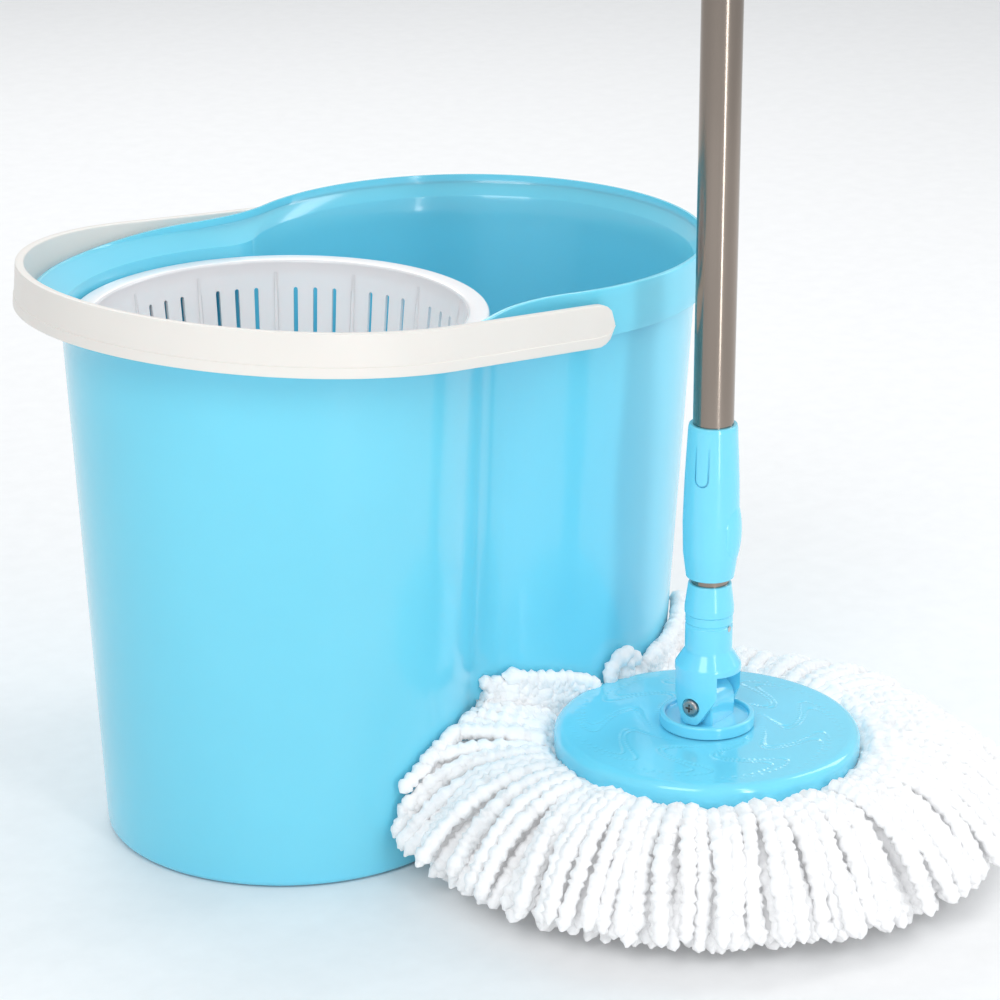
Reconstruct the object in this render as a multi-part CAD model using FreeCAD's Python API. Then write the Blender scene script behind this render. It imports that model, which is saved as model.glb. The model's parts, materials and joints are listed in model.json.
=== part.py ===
"""Spin mop set: an oval bucket with a spin-dry basket and a swing bail, and the mop beside it.

Millimetres, +Z up.  The origin is on the floor under the basket's spindle.  +X runs along the
bucket from the basket lobe to the wash lobe.  The mop stands on the -Y side of the wash lobe.
"""
import FreeCAD
import Part
import math
import os

Vec = FreeCAD.Vector

# ---------------------------------------------------------------- driving sizes: bucket
LOBE_DISTANCE = 135.0        # basket spindle to the wash lobe's centre
BUCKET_FOOT_R = (100.0, 108.0)   # basket lobe, wash lobe, outside, at the floor
BUCKET_TOP_R = (114.0, 125.0)    # the same, at the wall's top
WAIST_FILLET = 22.0          # inside fillet where the lobes meet
BUCKET_WALL = 2.4
BUCKET_FLOOR = 4.0
RIM_REACH = (16.0, 6.5)      # rim's edge past the wall's top, over each lobe
RIM_FILLET = 85.0            # gentle waist of the rim
RIM_TOP_Z = (299.0, 303.0)   # rim height over the basket lobe and over the wash lobe
RIM_SKIRT = (6.0, 26.0)      # skirt height under the rim at each lobe
RIM_RISE_X = (-45.0, LOBE_DISTANCE - 75.0)   # the rim rises between these two stations
RIM_LIP_W = 2.0              # level edge round the rim's dished top
RIM_DISH = 8.0               # the dish falls this far, from that edge to the wall
RIM_TOP_SKIN = 2.6
DISH_OVERLAP = 1.5           # the dish starts this far inside the wall's face, for a clean cut
SKIRT_WALL = 2.2
WALL_TOP_Z = RIM_TOP_Z[0] - 19.0
DISH_FOOT_Z = RIM_TOP_Z[0] - RIM_DISH
RIM_R = (BUCKET_TOP_R[0] + RIM_REACH[0], BUCKET_TOP_R[1] + RIM_REACH[1])

# ---------------------------------------------------------------- driving sizes: spindle
TOWER_FOOT_R = 58.0
TOWER_TOP_R = 17.0
TOWER_WALL = 3.0
TOWER_DROP = 9.0             # its top under the basket's floor
SCREW_BOSS_R = 5.0
SCREW_BOSS_H = 12.0
SCREW_CIRCLE_R = 48.0
TOWER_SCREWS = 3
SCREW_R = 1.6
SPINDLE_R = 4.0
SPINDLE_SEAT = 28.0          # length of the spindle inside the tower's head
WASHER_R = 10.0
WASHER_T = 2.0
CLIP_T = 1.2

# ---------------------------------------------------------------- driving sizes: basket
BASKET_SET_DOWN = 13.0       # its rim hangs this far under the bucket's
BASKET_SIDE_GAP = 1.9        # its rim to the bucket's wall
BASKET_RIM_W = 10.0
BASKET_TAPER = 24.0          # its foot is this much smaller in radius
BASKET_DEPTH = 127.0
BASKET_WALL = 2.2
BASKET_PANELS = 14
SLOTS_PER_PANEL = 4
SLOT_W = 2.4
SLOT_BANDS = ((12.0, 52.0), (60.0, 112.0))   # heights above the basket's floor
HUB_R = 13.0
BUSH_R = 8.0
BUSH_LENGTH = 24.0
CAP_HEIGHT = 32.0

# ---------------------------------------------------------------- driving sizes: bail
BAIL_PIVOT_X = LOBE_DISTANCE - 35.0
BAIL_PIVOT_Z = RIM_TOP_Z[1] - 16.5
BAIL_INNER_R = RIM_R[0] + 3.4        # inside of the crown
BAIL_ARM_INNER_Y = RIM_R[1] + 1.1    # inside of the arms at the pivots
BAIL_T = 5.0
BAIL_H = 22.5
BAIL_REST_ANGLE = 5.4        # the crown rests this much above the pivots
BAIL_PIN_R = 3.2
BAIL_BOSS_R = 8.0
BAIL_CLIP_R = 4.6
BAIL_CLIP_T = 1.0
BAIL_LIP = 4.4               # rest lip inside the crown
BAIL_LIP_T = 2.4

# ---------------------------------------------------------------- driving sizes: mop
MOP_SET_BACK = 11.0          # it stands this far back from the wash lobe's centre
MOP_SIDE_GAP = 2.7           # disc to bucket
YOKE_TURN = 12.0             # tilt pin turned this much from the X axis
DISC_R = 81.0
DISC_TOP_Z = 76.0
DISC_EDGE_H = 14.0
DISC_SKIN = 3.0
DISC_HUB_R = 19.0
YARN_R = 155.0
YARN_CORE_R = 24.0
YARN_TOP_Z = 59.5
YARN_CREST = (DISC_R + 9.0, 68.0)    # the pile swells above the disc's lower edge here
FLANGE_MARGIN = 7.5          # flange past the yoke
FLANGE_T = 4.0
FLANGE_BEAD = 2.6
STEM_R = 12.0
PIN_Z = 90.5
PIN_R = 2.5
PIVOT_BUSH_R = 4.0
TONGUE_HALF_D = 9.8          # the tongue's half depth and the radius of its eye
BASE_WASHER_T = 1.6
FORK_GAP = 24.0              # between the yoke's cheeks
CHEEK_T = 5.5
CHEEK_DEPTH = 13.0
CHEEK_DROP = 9.3             # the cheeks end this far under the pin
CHEEK_TIP = 4.2              # half width of that end
SCREW_POCKET_R = 5.2
SCREW_POCKET_DEPTH = 1.6
RIVET_R = 1.5
YOKE_SHOULDER_Z = 108.0
YOKE_NECK_WALL = 2.7
YOKE_TOP_Z = 139.0
COLLAR_TOP_Z = 156.0
INNER_TUBE_R = 9.8
TUBE_WALL = 0.5
TUBE_GAP = 0.3               # between the inner tube and the outer one's bore
INNER_TUBE_BOTTOM_Z = 125.0
INNER_TUBE_TOP_Z = 395.0
OUTER_TUBE_BOTTOM_Z = 172.0
TUBE_SEAM_Z = 425.0
UPPER_TUBE_TOP_Z = 1060.0
EXTEND_TRAVEL = 180.0
ROD_PITCH = 60.0             # one turn of the head for each 60 mm of travel
ROD_W = 8.0
ROD_T = 2.2
NUT_NECK_R = 6.0
NUT_PLUG = 12.0
NUT_PLATE_T = 3.0
NUT_CLIP_T = 1.2
GUIDE_LENGTH = 7.5
COUPLER_HALF = 26.0
ROD_STOP_T = 4.0
LOCK_BUSH_WALL = 1.2
SLEEVE_BOTTOM_Z = 159.5
SLEEVE_TOP_Z = 243.0
THUMB_ANGLE = -80.0          # swell, about the mop's axis from its +X
TONGUE_ANGLE = -82.0         # snap tongue, about the mop's axis from its -Y
GRIP_BOTTOM_Z = 960.0
GRIP_TOP_Z = 1088.0
GRIP_WALL = 3.9
MOP_TOP_Z = 1112.0

# ---------------------------------------------------------------- clearances
RUN_FIT = 0.06               # radial, a shaft turning in its bush
PIN_FIT = 0.10               # radial, the bail's pins in the bucket
BODY_GAP = 0.4               # between faces of two pieces that move
FORK_PLAY = 0.5              # each side of the tongue in the fork
YARN_GAP = 2.5               # yarn to bucket


# ================================================================ helpers
def rounded_wire(points):
    """Closed wire in the XZ plane through (x, z, corner radius) points, corners as tangent arcs."""
    count = len(points)
    corners = []
    for i in range(count):
        before, here, after = points[i - 1], points[i], points[(i + 1) % count]
        centre = Vec(here[0], 0, here[1])
        radius = here[2] if len(here) > 2 else 0.0
        if radius <= 0:
            corners.append((centre, centre, None))
            continue
        back = (Vec(before[0], 0, before[1]) - centre).normalize()
        ahead = (Vec(after[0], 0, after[1]) - centre).normalize()
        half = back.getAngle(ahead) / 2
        reach = radius / math.tan(half)
        bisector = (back + ahead).normalize()
        middle = centre + bisector * (radius / math.sin(half) - radius)
        corners.append((centre + back * reach, centre + ahead * reach, middle))
    edges = []
    for i in range(count):
        start, end, middle = corners[i]
        if middle is not None:
            edges.append(Part.Arc(start, middle, end).toShape())
        following = corners[(i + 1) % count][0]
        if (following - end).Length > 1e-6:
            edges.append(Part.makeLine(end, following))
    return Part.Wire(edges)


def turned(points):
    """Solid of revolution about Z from (radius, height, corner radius) points."""
    return Part.Face(rounded_wire(points)).revolve(Vec(0, 0, 0), Vec(0, 0, 1), 360)


def tube(outer, inner, low, high):
    """Plain ring about Z."""
    return cylinder(outer, low, high).cut(cylinder(inner, low - 1, high + 1))


def cylinder(radius, low, high, x=0.0, y=0.0):
    """Upright cylinder."""
    return Part.makeCylinder(radius, high - low, Vec(x, y, low))


def box(x0, x1, y0, y1, z0, z1):
    """Box between two corners."""
    return Part.makeBox(x1 - x0, y1 - y0, z1 - z0, Vec(x0, y0, z0))


def lobes(radius_a, radius_b, fillet, height):
    """Closed outline: two circles LOBE_DISTANCE apart, joined by two concave arcs."""
    along = (LOBE_DISTANCE ** 2 + (radius_a + fillet) ** 2 - (radius_b + fillet) ** 2) / (2 * LOBE_DISTANCE)
    across = math.sqrt((radius_a + fillet) ** 2 - along ** 2)

    def on_a(side):
        share = radius_a / (radius_a + fillet)
        return Vec(along * share, side * across * share, height)

    def on_b(side):
        share = radius_b / (radius_b + fillet)
        return Vec(LOBE_DISTANCE + (along - LOBE_DISTANCE) * share, side * across * share, height)

    def waist(side):
        return Vec(along, side * (across - fillet), height)

    tip_a = Vec(-radius_a, 0, height)
    tip_b = Vec(LOBE_DISTANCE + radius_b, 0, height)

    def quarter(start, end, centre_x, radius):
        middle = (start + end) * 0.5 - Vec(centre_x, 0, height)
        middle = middle.normalize() * radius + Vec(centre_x, 0, height)
        return Part.Arc(start, middle, end).toShape()

    return Part.Wire([
        quarter(on_a(1), tip_a, 0, radius_a),
        quarter(tip_a, on_a(-1), 0, radius_a),
        Part.Arc(on_a(-1), waist(-1), on_b(-1)).toShape(),
        quarter(on_b(-1), tip_b, LOBE_DISTANCE, radius_b),
        quarter(tip_b, on_b(1), LOBE_DISTANCE, radius_b),
        Part.Arc(on_b(1), waist(1), on_a(1)).toShape(),
    ])


def wall_radius(lobe, height):
    """Outside radius of the drafted wall at a height."""
    foot, top = BUCKET_FOOT_R[lobe], BUCKET_TOP_R[lobe]
    return foot + (top - foot) * height / WALL_TOP_Z


def wall_solid(offset, low, high):
    """Solid inside the drafted wall, grown by an offset."""
    rings = []
    for height in (low, high):
        rings.append(lobes(wall_radius(0, height) + offset, wall_radius(1, height) + offset,
                           WAIST_FILLET - offset, height))
    return Part.makeLoft(rings, True, True)


def rim_solid(offset, low, high):
    """Upright solid inside the rim's outline, grown by an offset."""
    outline = lobes(RIM_R[0] + offset, RIM_R[1] + offset, RIM_FILLET - offset, low)
    return Part.Face(outline).extrude(Vec(0, 0, high - low))


def below_line(height_a, height_b):
    """Everything under a line that is level over each lobe and rises smoothly between them."""
    far, floor = 400.0, 200.0
    x0, x1 = RIM_RISE_X
    third = (x1 - x0) / 3
    rise = Part.BezierCurve()
    rise.setPoles([Vec(x0, -far, height_a), Vec(x0 + third, -far, height_a),
                   Vec(x1 - third, -far, height_b), Vec(x1, -far, height_b)])
    corners = [Vec(x1, -far, height_b), Vec(far, -far, height_b), Vec(far, -far, floor),
               Vec(-far, -far, floor), Vec(-far, -far, height_a), Vec(x0, -far, height_a)]
    edges = [rise.toShape()]
    for start, end in zip(corners, corners[1:]):
        edges.append(Part.makeLine(start, end))
    return Part.Face(Part.Wire(edges)).extrude(Vec(0, 2 * far, 0))


def ring_of(shape, count, turn_offset=0.0):
    """Copies of a shape spaced evenly about Z."""
    copies = []
    for i in range(count):
        copy = shape.copy()
        copy.rotate(Vec(0, 0, 0), Vec(0, 0, 1), turn_offset + 360.0 * i / count)
        copies.append(copy)
    return copies


def pan_screw(shank_r, shank_length, head_r, head_h):
    """Screw along Z: the shank hangs below z = 0 and the domed head, with its cross recess, is above."""
    head = turned([(0, 0), (head_r, 0), (head_r, head_h, head_h * 0.55), (0, head_h)])
    shank = cylinder(shank_r, -shank_length, 0)
    recess_half = head_r * 0.5
    bar = head_r * 0.11
    depth = head_h * 0.6
    cross = box(-recess_half, recess_half, -bar, bar, head_h - depth, head_h + 1)
    cross = cross.fuse(box(-bar, bar, -recess_half, recess_half, head_h - depth, head_h + 1))
    return head.fuse(shank).cut(cross).removeSplitter()


def soften(shape, radius, wanted):
    """Round the edges that a test picks."""
    return shape.makeFillet(radius, [edge for edge in shape.Edges if wanted(edge)])


def at_mop(shape):
    """Place a piece modelled about the mop's own axis."""
    placed = shape.copy()
    placed.rotate(Vec(0, 0, 0), Vec(0, 0, 1), YOKE_TURN)
    placed.translate(Vec(MOP_X, MOP_Y, 0))
    return placed


def along_x(shape, x, z):
    """Turn a piece modelled along +Z so that it points along -X, at (x, 0, z)."""
    placed = shape.copy()
    placed.rotate(Vec(0, 0, 0), Vec(0, 1, 0), -90)
    placed.translate(Vec(x, 0, z))
    return placed


# ================================================================ derived sizes
BASKET_RIM_Z = RIM_TOP_Z[0] - BASKET_SET_DOWN
BASKET_RIM_R = wall_radius(0, BASKET_RIM_Z) - BUCKET_WALL - BASKET_SIDE_GAP
BASKET_FOOT_R = BASKET_RIM_R - BASKET_TAPER
BASKET_FLOOR_Z = BASKET_RIM_Z - BASKET_DEPTH
TOWER_TOP_Z = BASKET_FLOOR_Z - TOWER_DROP
WASHER_TOP_Z = TOWER_TOP_Z + WASHER_T
BUSH_BOTTOM_Z = WASHER_TOP_Z + BODY_GAP
BUSH_TOP_Z = BUSH_BOTTOM_Z + BUSH_LENGTH
CLIP_BOTTOM_Z = BUSH_TOP_Z + BODY_GAP
SPINDLE_TOP_Z = CLIP_BOTTOM_Z + CLIP_T + 3.0
BOSS_TOP_Z = BUCKET_FLOOR + SCREW_BOSS_H
TOWER_FLANGE_Z = BOSS_TOP_Z + TOWER_WALL
PIN_INSIDE_Y = math.sqrt(wall_radius(1, BAIL_PIVOT_Z) ** 2
                         - (LOBE_DISTANCE - BAIL_PIVOT_X - BAIL_PIN_R) ** 2) + BODY_GAP
MOP_X = LOBE_DISTANCE - MOP_SET_BACK
MOP_REACH = wall_radius(1, DISC_TOP_Z) + MOP_SIDE_GAP + DISC_R
MOP_Y = -round(math.sqrt(MOP_REACH ** 2 - MOP_SET_BACK ** 2), 1)
FLANGE_BOTTOM_Z = DISC_TOP_Z + BODY_GAP
FLANGE_TOP_Z = FLANGE_BOTTOM_Z + FLANGE_T
STEM_BOTTOM_Z = DISC_TOP_Z - DISC_EDGE_H - BODY_GAP
TONGUE_HALF_T = FORK_GAP / 2 - FORK_PLAY
YOKE_SHOULDER_R = FORK_GAP / 2 + CHEEK_T
CHEEK_BOTTOM_Z = PIN_Z - CHEEK_DROP
CHEEK_SEAT = YOKE_SHOULDER_R - SCREW_POCKET_DEPTH
FLANGE_R = YOKE_SHOULDER_R + FLANGE_MARGIN
RIVET_Z = (INNER_TUBE_BOTTOM_Z + YOKE_TOP_Z) / 2
YOKE_NECK_R = INNER_TUBE_R + YOKE_NECK_WALL
OUTER_TUBE_R = INNER_TUBE_R + TUBE_GAP + TUBE_WALL
LOCK_BUSH_R = OUTER_TUBE_R + LOCK_BUSH_WALL
GRIP_R = OUTER_TUBE_R + GRIP_WALL
GUIDE_BOTTOM_Z = INNER_TUBE_TOP_Z + NUT_PLATE_T + BODY_GAP
GUIDE_TOP_Z = GUIDE_BOTTOM_Z + GUIDE_LENGTH
NUT_CLIP_Z = GUIDE_TOP_Z + BODY_GAP
NUT_TOP_Z = NUT_CLIP_Z + NUT_CLIP_T
COUPLER_BOTTOM_Z = NUT_TOP_Z + 2.0
ROD_BOTTOM_Z = INNER_TUBE_TOP_Z - NUT_PLUG - EXTEND_TRAVEL - 1.0


# ================================================================ bucket
def screw_places():
    """Centres of the tower's screws."""
    places = []
    for i in range(TOWER_SCREWS):
        angle = math.radians(90 + 360.0 * i / TOWER_SCREWS)
        places.append((SCREW_CIRCLE_R * math.cos(angle), SCREW_CIRCLE_R * math.sin(angle)))
    return places


def bail_axis_bar(radius, low, high):
    """Bar of a radius along Y at the bail's pivots, between two distances on both sides."""
    bars = []
    for side in (-1, 1):
        start = Vec(BAIL_PIVOT_X, side * low, BAIL_PIVOT_Z)
        bars.append(Part.makeCylinder(radius, high - low, start, Vec(0, side, 0)))
    return bars


def dish_space(drop):
    """Everything above the rim's dished top, with the dish let down by a drop."""
    high = max(RIM_TOP_Z) + 10
    inset = BUCKET_WALL + DISH_OVERLAP
    foot = lobes(wall_radius(0, DISH_FOOT_Z) - inset, wall_radius(1, DISH_FOOT_Z) - inset,
                 WAIST_FILLET + inset, DISH_FOOT_Z - drop)
    edge = lobes(RIM_R[0] - RIM_LIP_W, RIM_R[1] - RIM_LIP_W, RIM_FILLET + RIM_LIP_W, RIM_TOP_Z[0] - drop)
    dish = Part.makeLoft([foot, edge], True, True)
    return dish.fuse(rim_solid(-RIM_LIP_W, RIM_TOP_Z[0] - drop, high))


def make_bucket_body():
    """One moulding: drafted wall, floor, dished rim with its skirt, screw bosses and bail holes."""
    high = max(RIM_TOP_Z) + 5
    low = min(RIM_TOP_Z) - max(RIM_SKIRT) - 20
    under_rim = below_line(RIM_TOP_Z[0] - RIM_SKIRT[0], RIM_TOP_Z[1] - RIM_SKIRT[1])
    top_line = below_line(*RIM_TOP_Z)
    flange = rim_solid(0, low, high).common(dish_space(RIM_TOP_SKIN)).common(top_line)
    skirt = rim_solid(0, low, high).cut(rim_solid(-SKIRT_WALL, low - 1, high + 1))
    skirt = skirt.cut(under_rim).common(top_line)
    body = wall_solid(0, 0, high).fuse([flange, skirt])
    body = body.cut(dish_space(0)).cut(wall_solid(-BUCKET_WALL, BUCKET_FLOOR, high + 1))
    for x, y in screw_places():
        boss = cylinder(SCREW_BOSS_R, BUCKET_FLOOR, BOSS_TOP_Z, x, y)
        body = body.fuse(boss.cut(cylinder(SCREW_R, BUCKET_FLOOR + 1, BOSS_TOP_Z + 1, x, y)))
    for hole in bail_axis_bar(BAIL_PIN_R + PIN_FIT, PIN_INSIDE_Y - 0.1, RIM_R[1] + 10):
        body = body.cut(hole)
    return body.removeSplitter()


def make_spindle_tower():
    """Hollow cone that carries the spindle; its skirt stands on the bucket's floor."""
    foot_in = TOWER_FOOT_R - TOWER_WALL
    cone_foot = 42.0
    head_bottom = TOWER_TOP_Z - SPINDLE_SEAT - 4
    slope = (cone_foot - TOWER_TOP_R) / (TOWER_TOP_Z - TOWER_FLANGE_Z)
    head_r = TOWER_TOP_R + slope * (TOWER_TOP_Z - head_bottom) - TOWER_WALL
    tower = turned([
        (TOWER_FOOT_R, BUCKET_FLOOR), (TOWER_FOOT_R, TOWER_FLANGE_Z, 2.0), (cone_foot, TOWER_FLANGE_Z, 2.5),
        (TOWER_TOP_R, TOWER_TOP_Z, 1.5), (SPINDLE_R, TOWER_TOP_Z),
        (SPINDLE_R, TOWER_TOP_Z - SPINDLE_SEAT), (0, TOWER_TOP_Z - SPINDLE_SEAT), (0, head_bottom),
        (head_r, head_bottom), (cone_foot - TOWER_WALL, BOSS_TOP_Z), (foot_in, BOSS_TOP_Z),
        (foot_in, BUCKET_FLOOR),
    ])
    for x, y in screw_places():
        tower = tower.cut(cylinder(SCREW_R, BOSS_TOP_Z - 1, TOWER_FLANGE_Z + 1, x, y))
    return tower


def make_tower_screws():
    """Self-tapping screws through the tower's flange into the blind bosses."""
    screws = []
    for x, y in screw_places():
        screw = pan_screw(SCREW_R, TOWER_WALL + SCREW_BOSS_H - 3, 3.4, 2.4)
        screw.translate(Vec(x, y, TOWER_FLANGE_Z))
        screws.append(screw)
    return screws


def make_spindle_pin():
    """Steel spindle pressed into the tower's head."""
    return turned([(0, TOWER_TOP_Z - SPINDLE_SEAT), (SPINDLE_R, TOWER_TOP_Z - SPINDLE_SEAT),
                   (SPINDLE_R, SPINDLE_TOP_Z, 1.0), (0, SPINDLE_TOP_Z)])


# ================================================================ basket
def basket_radius(height):
    """Outside radius of the basket's tapered wall."""
    top = BASKET_RIM_R - BASKET_RIM_W + 1.0
    return BASKET_FOOT_R + (top - BASKET_FOOT_R) * (height - BASKET_FLOOR_Z) / BASKET_DEPTH


def make_basket():
    """Slotted drying basket: tapered wall with inner ribs, flat rim, slotted floor and hub."""
    rim_low = BASKET_RIM_Z - 3.0
    top_r = basket_radius(BASKET_RIM_Z)
    under_r = basket_radius(rim_low)
    floor_top = BASKET_FLOOR_Z + 3.0
    shell = turned([
        (BUSH_R, BUSH_BOTTOM_Z), (HUB_R, BUSH_BOTTOM_Z, 1.0), (HUB_R, BASKET_FLOOR_Z, 1.5),
        (BASKET_FOOT_R, BASKET_FLOOR_Z, 6.0), (under_r, rim_low, 1.5), (BASKET_RIM_R - 1.6, rim_low),
        (BASKET_RIM_R - 1.6, rim_low - 3.0, 0.7), (BASKET_RIM_R, rim_low - 3.0, 0.7),
        (BASKET_RIM_R, BASKET_RIM_Z, 1.6), (top_r - BASKET_WALL, BASKET_RIM_Z, 2.0),
        (basket_radius(floor_top) - BASKET_WALL, floor_top, 4.0), (HUB_R, floor_top, 1.0),
        (HUB_R, BUSH_TOP_Z, 1.0), (BUSH_R, BUSH_TOP_Z),
    ])
    low_r = basket_radius(floor_top) - BASKET_WALL
    high_r = basket_radius(rim_low) - BASKET_WALL
    rib_start = Vec(low_r - 1.8, 0, floor_top - 1)
    rib_outline = Part.makePolygon([rib_start, Vec(low_r + 1, 0, floor_top - 1), Vec(high_r + 1, 0, rim_low - 3),
                                    Vec(high_r - 0.2, 0, rim_low - 3), rib_start])
    rib = Part.Face(rib_outline).extrude(Vec(0, 2.6, 0))
    rib.translate(Vec(0, -1.3, 0))
    ribs = ring_of(rib, BASKET_PANELS)
    shell = shell.fuse(ribs)
    slot_count = BASKET_PANELS * SLOTS_PER_PANEL
    half_pitch = 180.0 / slot_count
    cuts = []
    half_slot = SLOT_W / 2
    for low, high in SLOT_BANDS:
        slot = box(low_r - 8, BASKET_RIM_R - 3, -half_slot, half_slot, BASKET_FLOOR_Z + low, BASKET_FLOOR_Z + high)
        cuts += ring_of(slot, slot_count, half_pitch)
    for inner, outer in ((24.0, 46.0), (52.0, 78.0)):
        drain = box(inner, outer, -1.6, 1.6, BASKET_FLOOR_Z - 1, floor_top + 0.5)
        cuts += ring_of(drain, 2 * BASKET_PANELS, half_pitch)
    return shell.cut(cuts)


def make_basket_bush():
    """Bearing bush pressed in the basket's hub."""
    return tube(BUSH_R, SPINDLE_R + RUN_FIT, BUSH_BOTTOM_Z, BUSH_TOP_Z)


def make_basket_cap():
    """Centring cone over the hub; it also hides the retaining clip."""
    floor_top = BASKET_FLOOR_Z + 3.0
    top = floor_top + CAP_HEIGHT
    cap = turned([
        (HUB_R, floor_top + 1.2), (HUB_R + 9, floor_top + 1.2, 0.4), (HUB_R + 5, floor_top + 6, 3.0),
        (11.0, top, 3.0), (0, top), (0, top - 2.2), (9.0, top - 2.2, 1.5), (HUB_R, BUSH_TOP_Z),
    ])
    for fin in ring_of(box(9, HUB_R + 3.2, -1.0, 1.0, floor_top + 5, top - 3), 6):
        cap = cap.fuse(fin.cut(turned([(0, floor_top), (HUB_R, floor_top), (HUB_R, BUSH_TOP_Z),
                                       (9.0, top - 2.2), (0, top - 2.2)])))
    return cap.removeSplitter()


# ================================================================ bail
def bail_plan(grow, inner_r, arm_y, low, high):
    """Solid inside the bail's U outline: round crown about the spindle, straight arms past the pivots."""
    radius = inner_r + grow
    arm = arm_y + grow
    end_x = BAIL_PIVOT_X + BAIL_H / 2 + 1
    slope = (inner_r - arm_y) / BAIL_PIVOT_X
    lean = math.atan(slope)
    touch = Vec(radius * math.sin(lean), radius * math.cos(lean), low)
    end = arm - slope * (end_x - BAIL_PIVOT_X)
    outline = Part.Wire([
        Part.Arc(touch, Vec(-radius, 0, low), Vec(touch.x, -touch.y, low)).toShape(),
        Part.makeLine(Vec(touch.x, -touch.y, low), Vec(end_x, -end, low)),
        Part.makeLine(Vec(end_x, -end, low), Vec(end_x, end, low)),
        Part.makeLine(Vec(end_x, end, low), touch),
    ])
    return Part.Face(outline).extrude(Vec(0, 0, high - low))


def make_bail_handle():
    """Flat-band bail with rounded ends, pivot bosses with pins, and a rest lip in its crown."""
    low = BAIL_PIVOT_Z - BAIL_H / 2
    high = BAIL_PIVOT_Z + BAIL_H / 2
    outer = bail_plan(BAIL_T, BAIL_INNER_R, BAIL_ARM_INNER_Y, low, high)
    inner = bail_plan(0, BAIL_INNER_R, BAIL_ARM_INNER_Y, low - 1, high + 1)
    band = outer.cut(inner)
    end_round = box(BAIL_PIVOT_X, BAIL_PIVOT_X + BAIL_H, -200, 200, low - 1, high + 1)
    end_axis = Vec(BAIL_PIVOT_X, -200, BAIL_PIVOT_Z)
    end_round = end_round.cut(Part.makeCylinder(BAIL_H / 2, 400, end_axis, Vec(0, 1, 0)))
    band = band.cut(end_round)
    lip_x = 0.92 * BAIL_INNER_R
    lean = math.radians(BAIL_REST_ANGLE)
    rise = RIM_TOP_Z[0] + BODY_GAP - BAIL_PIVOT_Z - (BAIL_PIVOT_X + lip_x) * math.sin(lean)
    lip_low = BAIL_PIVOT_Z + rise / math.cos(lean)
    lip = tube(BAIL_INNER_R + 1, BAIL_INNER_R - BAIL_LIP, lip_low, lip_low + BAIL_LIP_T)
    lip = lip.common(box(-200, -lip_x, -200, 200, low - 1, high))
    band = band.fuse(lip)
    band.rotate(Vec(BAIL_PIVOT_X, 0, BAIL_PIVOT_Z), Vec(0, 1, 0), BAIL_REST_ANGLE)
    skirt_y = math.sqrt(RIM_R[1] ** 2 - (BAIL_PIVOT_X + BAIL_BOSS_R - LOBE_DISTANCE) ** 2)
    for boss in bail_axis_bar(BAIL_BOSS_R, skirt_y + BODY_GAP, BAIL_ARM_INNER_Y + 1):
        band = band.fuse(boss)
    for pin in bail_axis_bar(BAIL_PIN_R, PIN_INSIDE_Y, BAIL_ARM_INNER_Y + 1):
        band = band.fuse(pin)
    return band.removeSplitter()


def make_bail_clips():
    """Push-on clips that keep the bail's pins in the skirt, in the channel behind it."""
    clips = []
    for side in (-1, 1):
        start = Vec(BAIL_PIVOT_X, side * (PIN_INSIDE_Y + 0.3), BAIL_PIVOT_Z)
        ring = Part.makeCylinder(BAIL_CLIP_R, BAIL_CLIP_T, start, Vec(0, side, 0))
        bore = Part.makeCylinder(BAIL_PIN_R, BAIL_CLIP_T, start, Vec(0, side, 0))
        clips.append(ring.cut(bore))
    return clips


# ================================================================ mop head
def make_mop_disc():
    """Round disc with a rounded edge, open underneath, and a hub for the swivel's stem."""
    low = DISC_TOP_Z - DISC_EDGE_H
    under = DISC_TOP_Z - DISC_SKIN
    return turned([
        (STEM_R + RUN_FIT, DISC_TOP_Z), (DISC_R, DISC_TOP_Z - 1.0, 5.0), (DISC_R, low, 1.0),
        (DISC_R - DISC_SKIN, low), (DISC_R - DISC_SKIN, under - 2, 2.0), (DISC_HUB_R, under, 2.0),
        (DISC_HUB_R, low), (STEM_R + RUN_FIT, low),
    ])


def make_refill_ring():
    """White ring that carries the yarn and clips up inside the disc's edge."""
    under = DISC_TOP_Z - DISC_SKIN
    outer = DISC_R - DISC_SKIN - 0.5
    inner = DISC_HUB_R + 5
    return turned([
        (inner, YARN_TOP_Z), (outer, YARN_TOP_Z, 0.5), (outer, YARN_TOP_Z + 5, 1.0),
        (outer - 8, YARN_TOP_Z + 5), (outer - 8, under - 2), (outer - 10, under - 2),
        (outer - 10, YARN_TOP_Z + 3), (inner, YARN_TOP_Z + 3),
    ])


def make_mop_yarn():
    """Soft pile: falls from the ring over the disc's edge to the floor, and lies against the bucket."""
    pile = turned([
        (YARN_CORE_R, 0), (YARN_R, 0, 4.0), (YARN_R, 24.0, 12.0), (YARN_R - 22, 54.0, 24.0),
        (YARN_CREST[0], YARN_CREST[1], 5.0), (DISC_R + 2, YARN_TOP_Z, 2.0), (YARN_CORE_R, YARN_TOP_Z),
    ])
    pile.translate(Vec(MOP_X, MOP_Y, 0))
    return pile.cut(wall_solid(YARN_GAP, -1, YARN_TOP_Z + 20))


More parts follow.
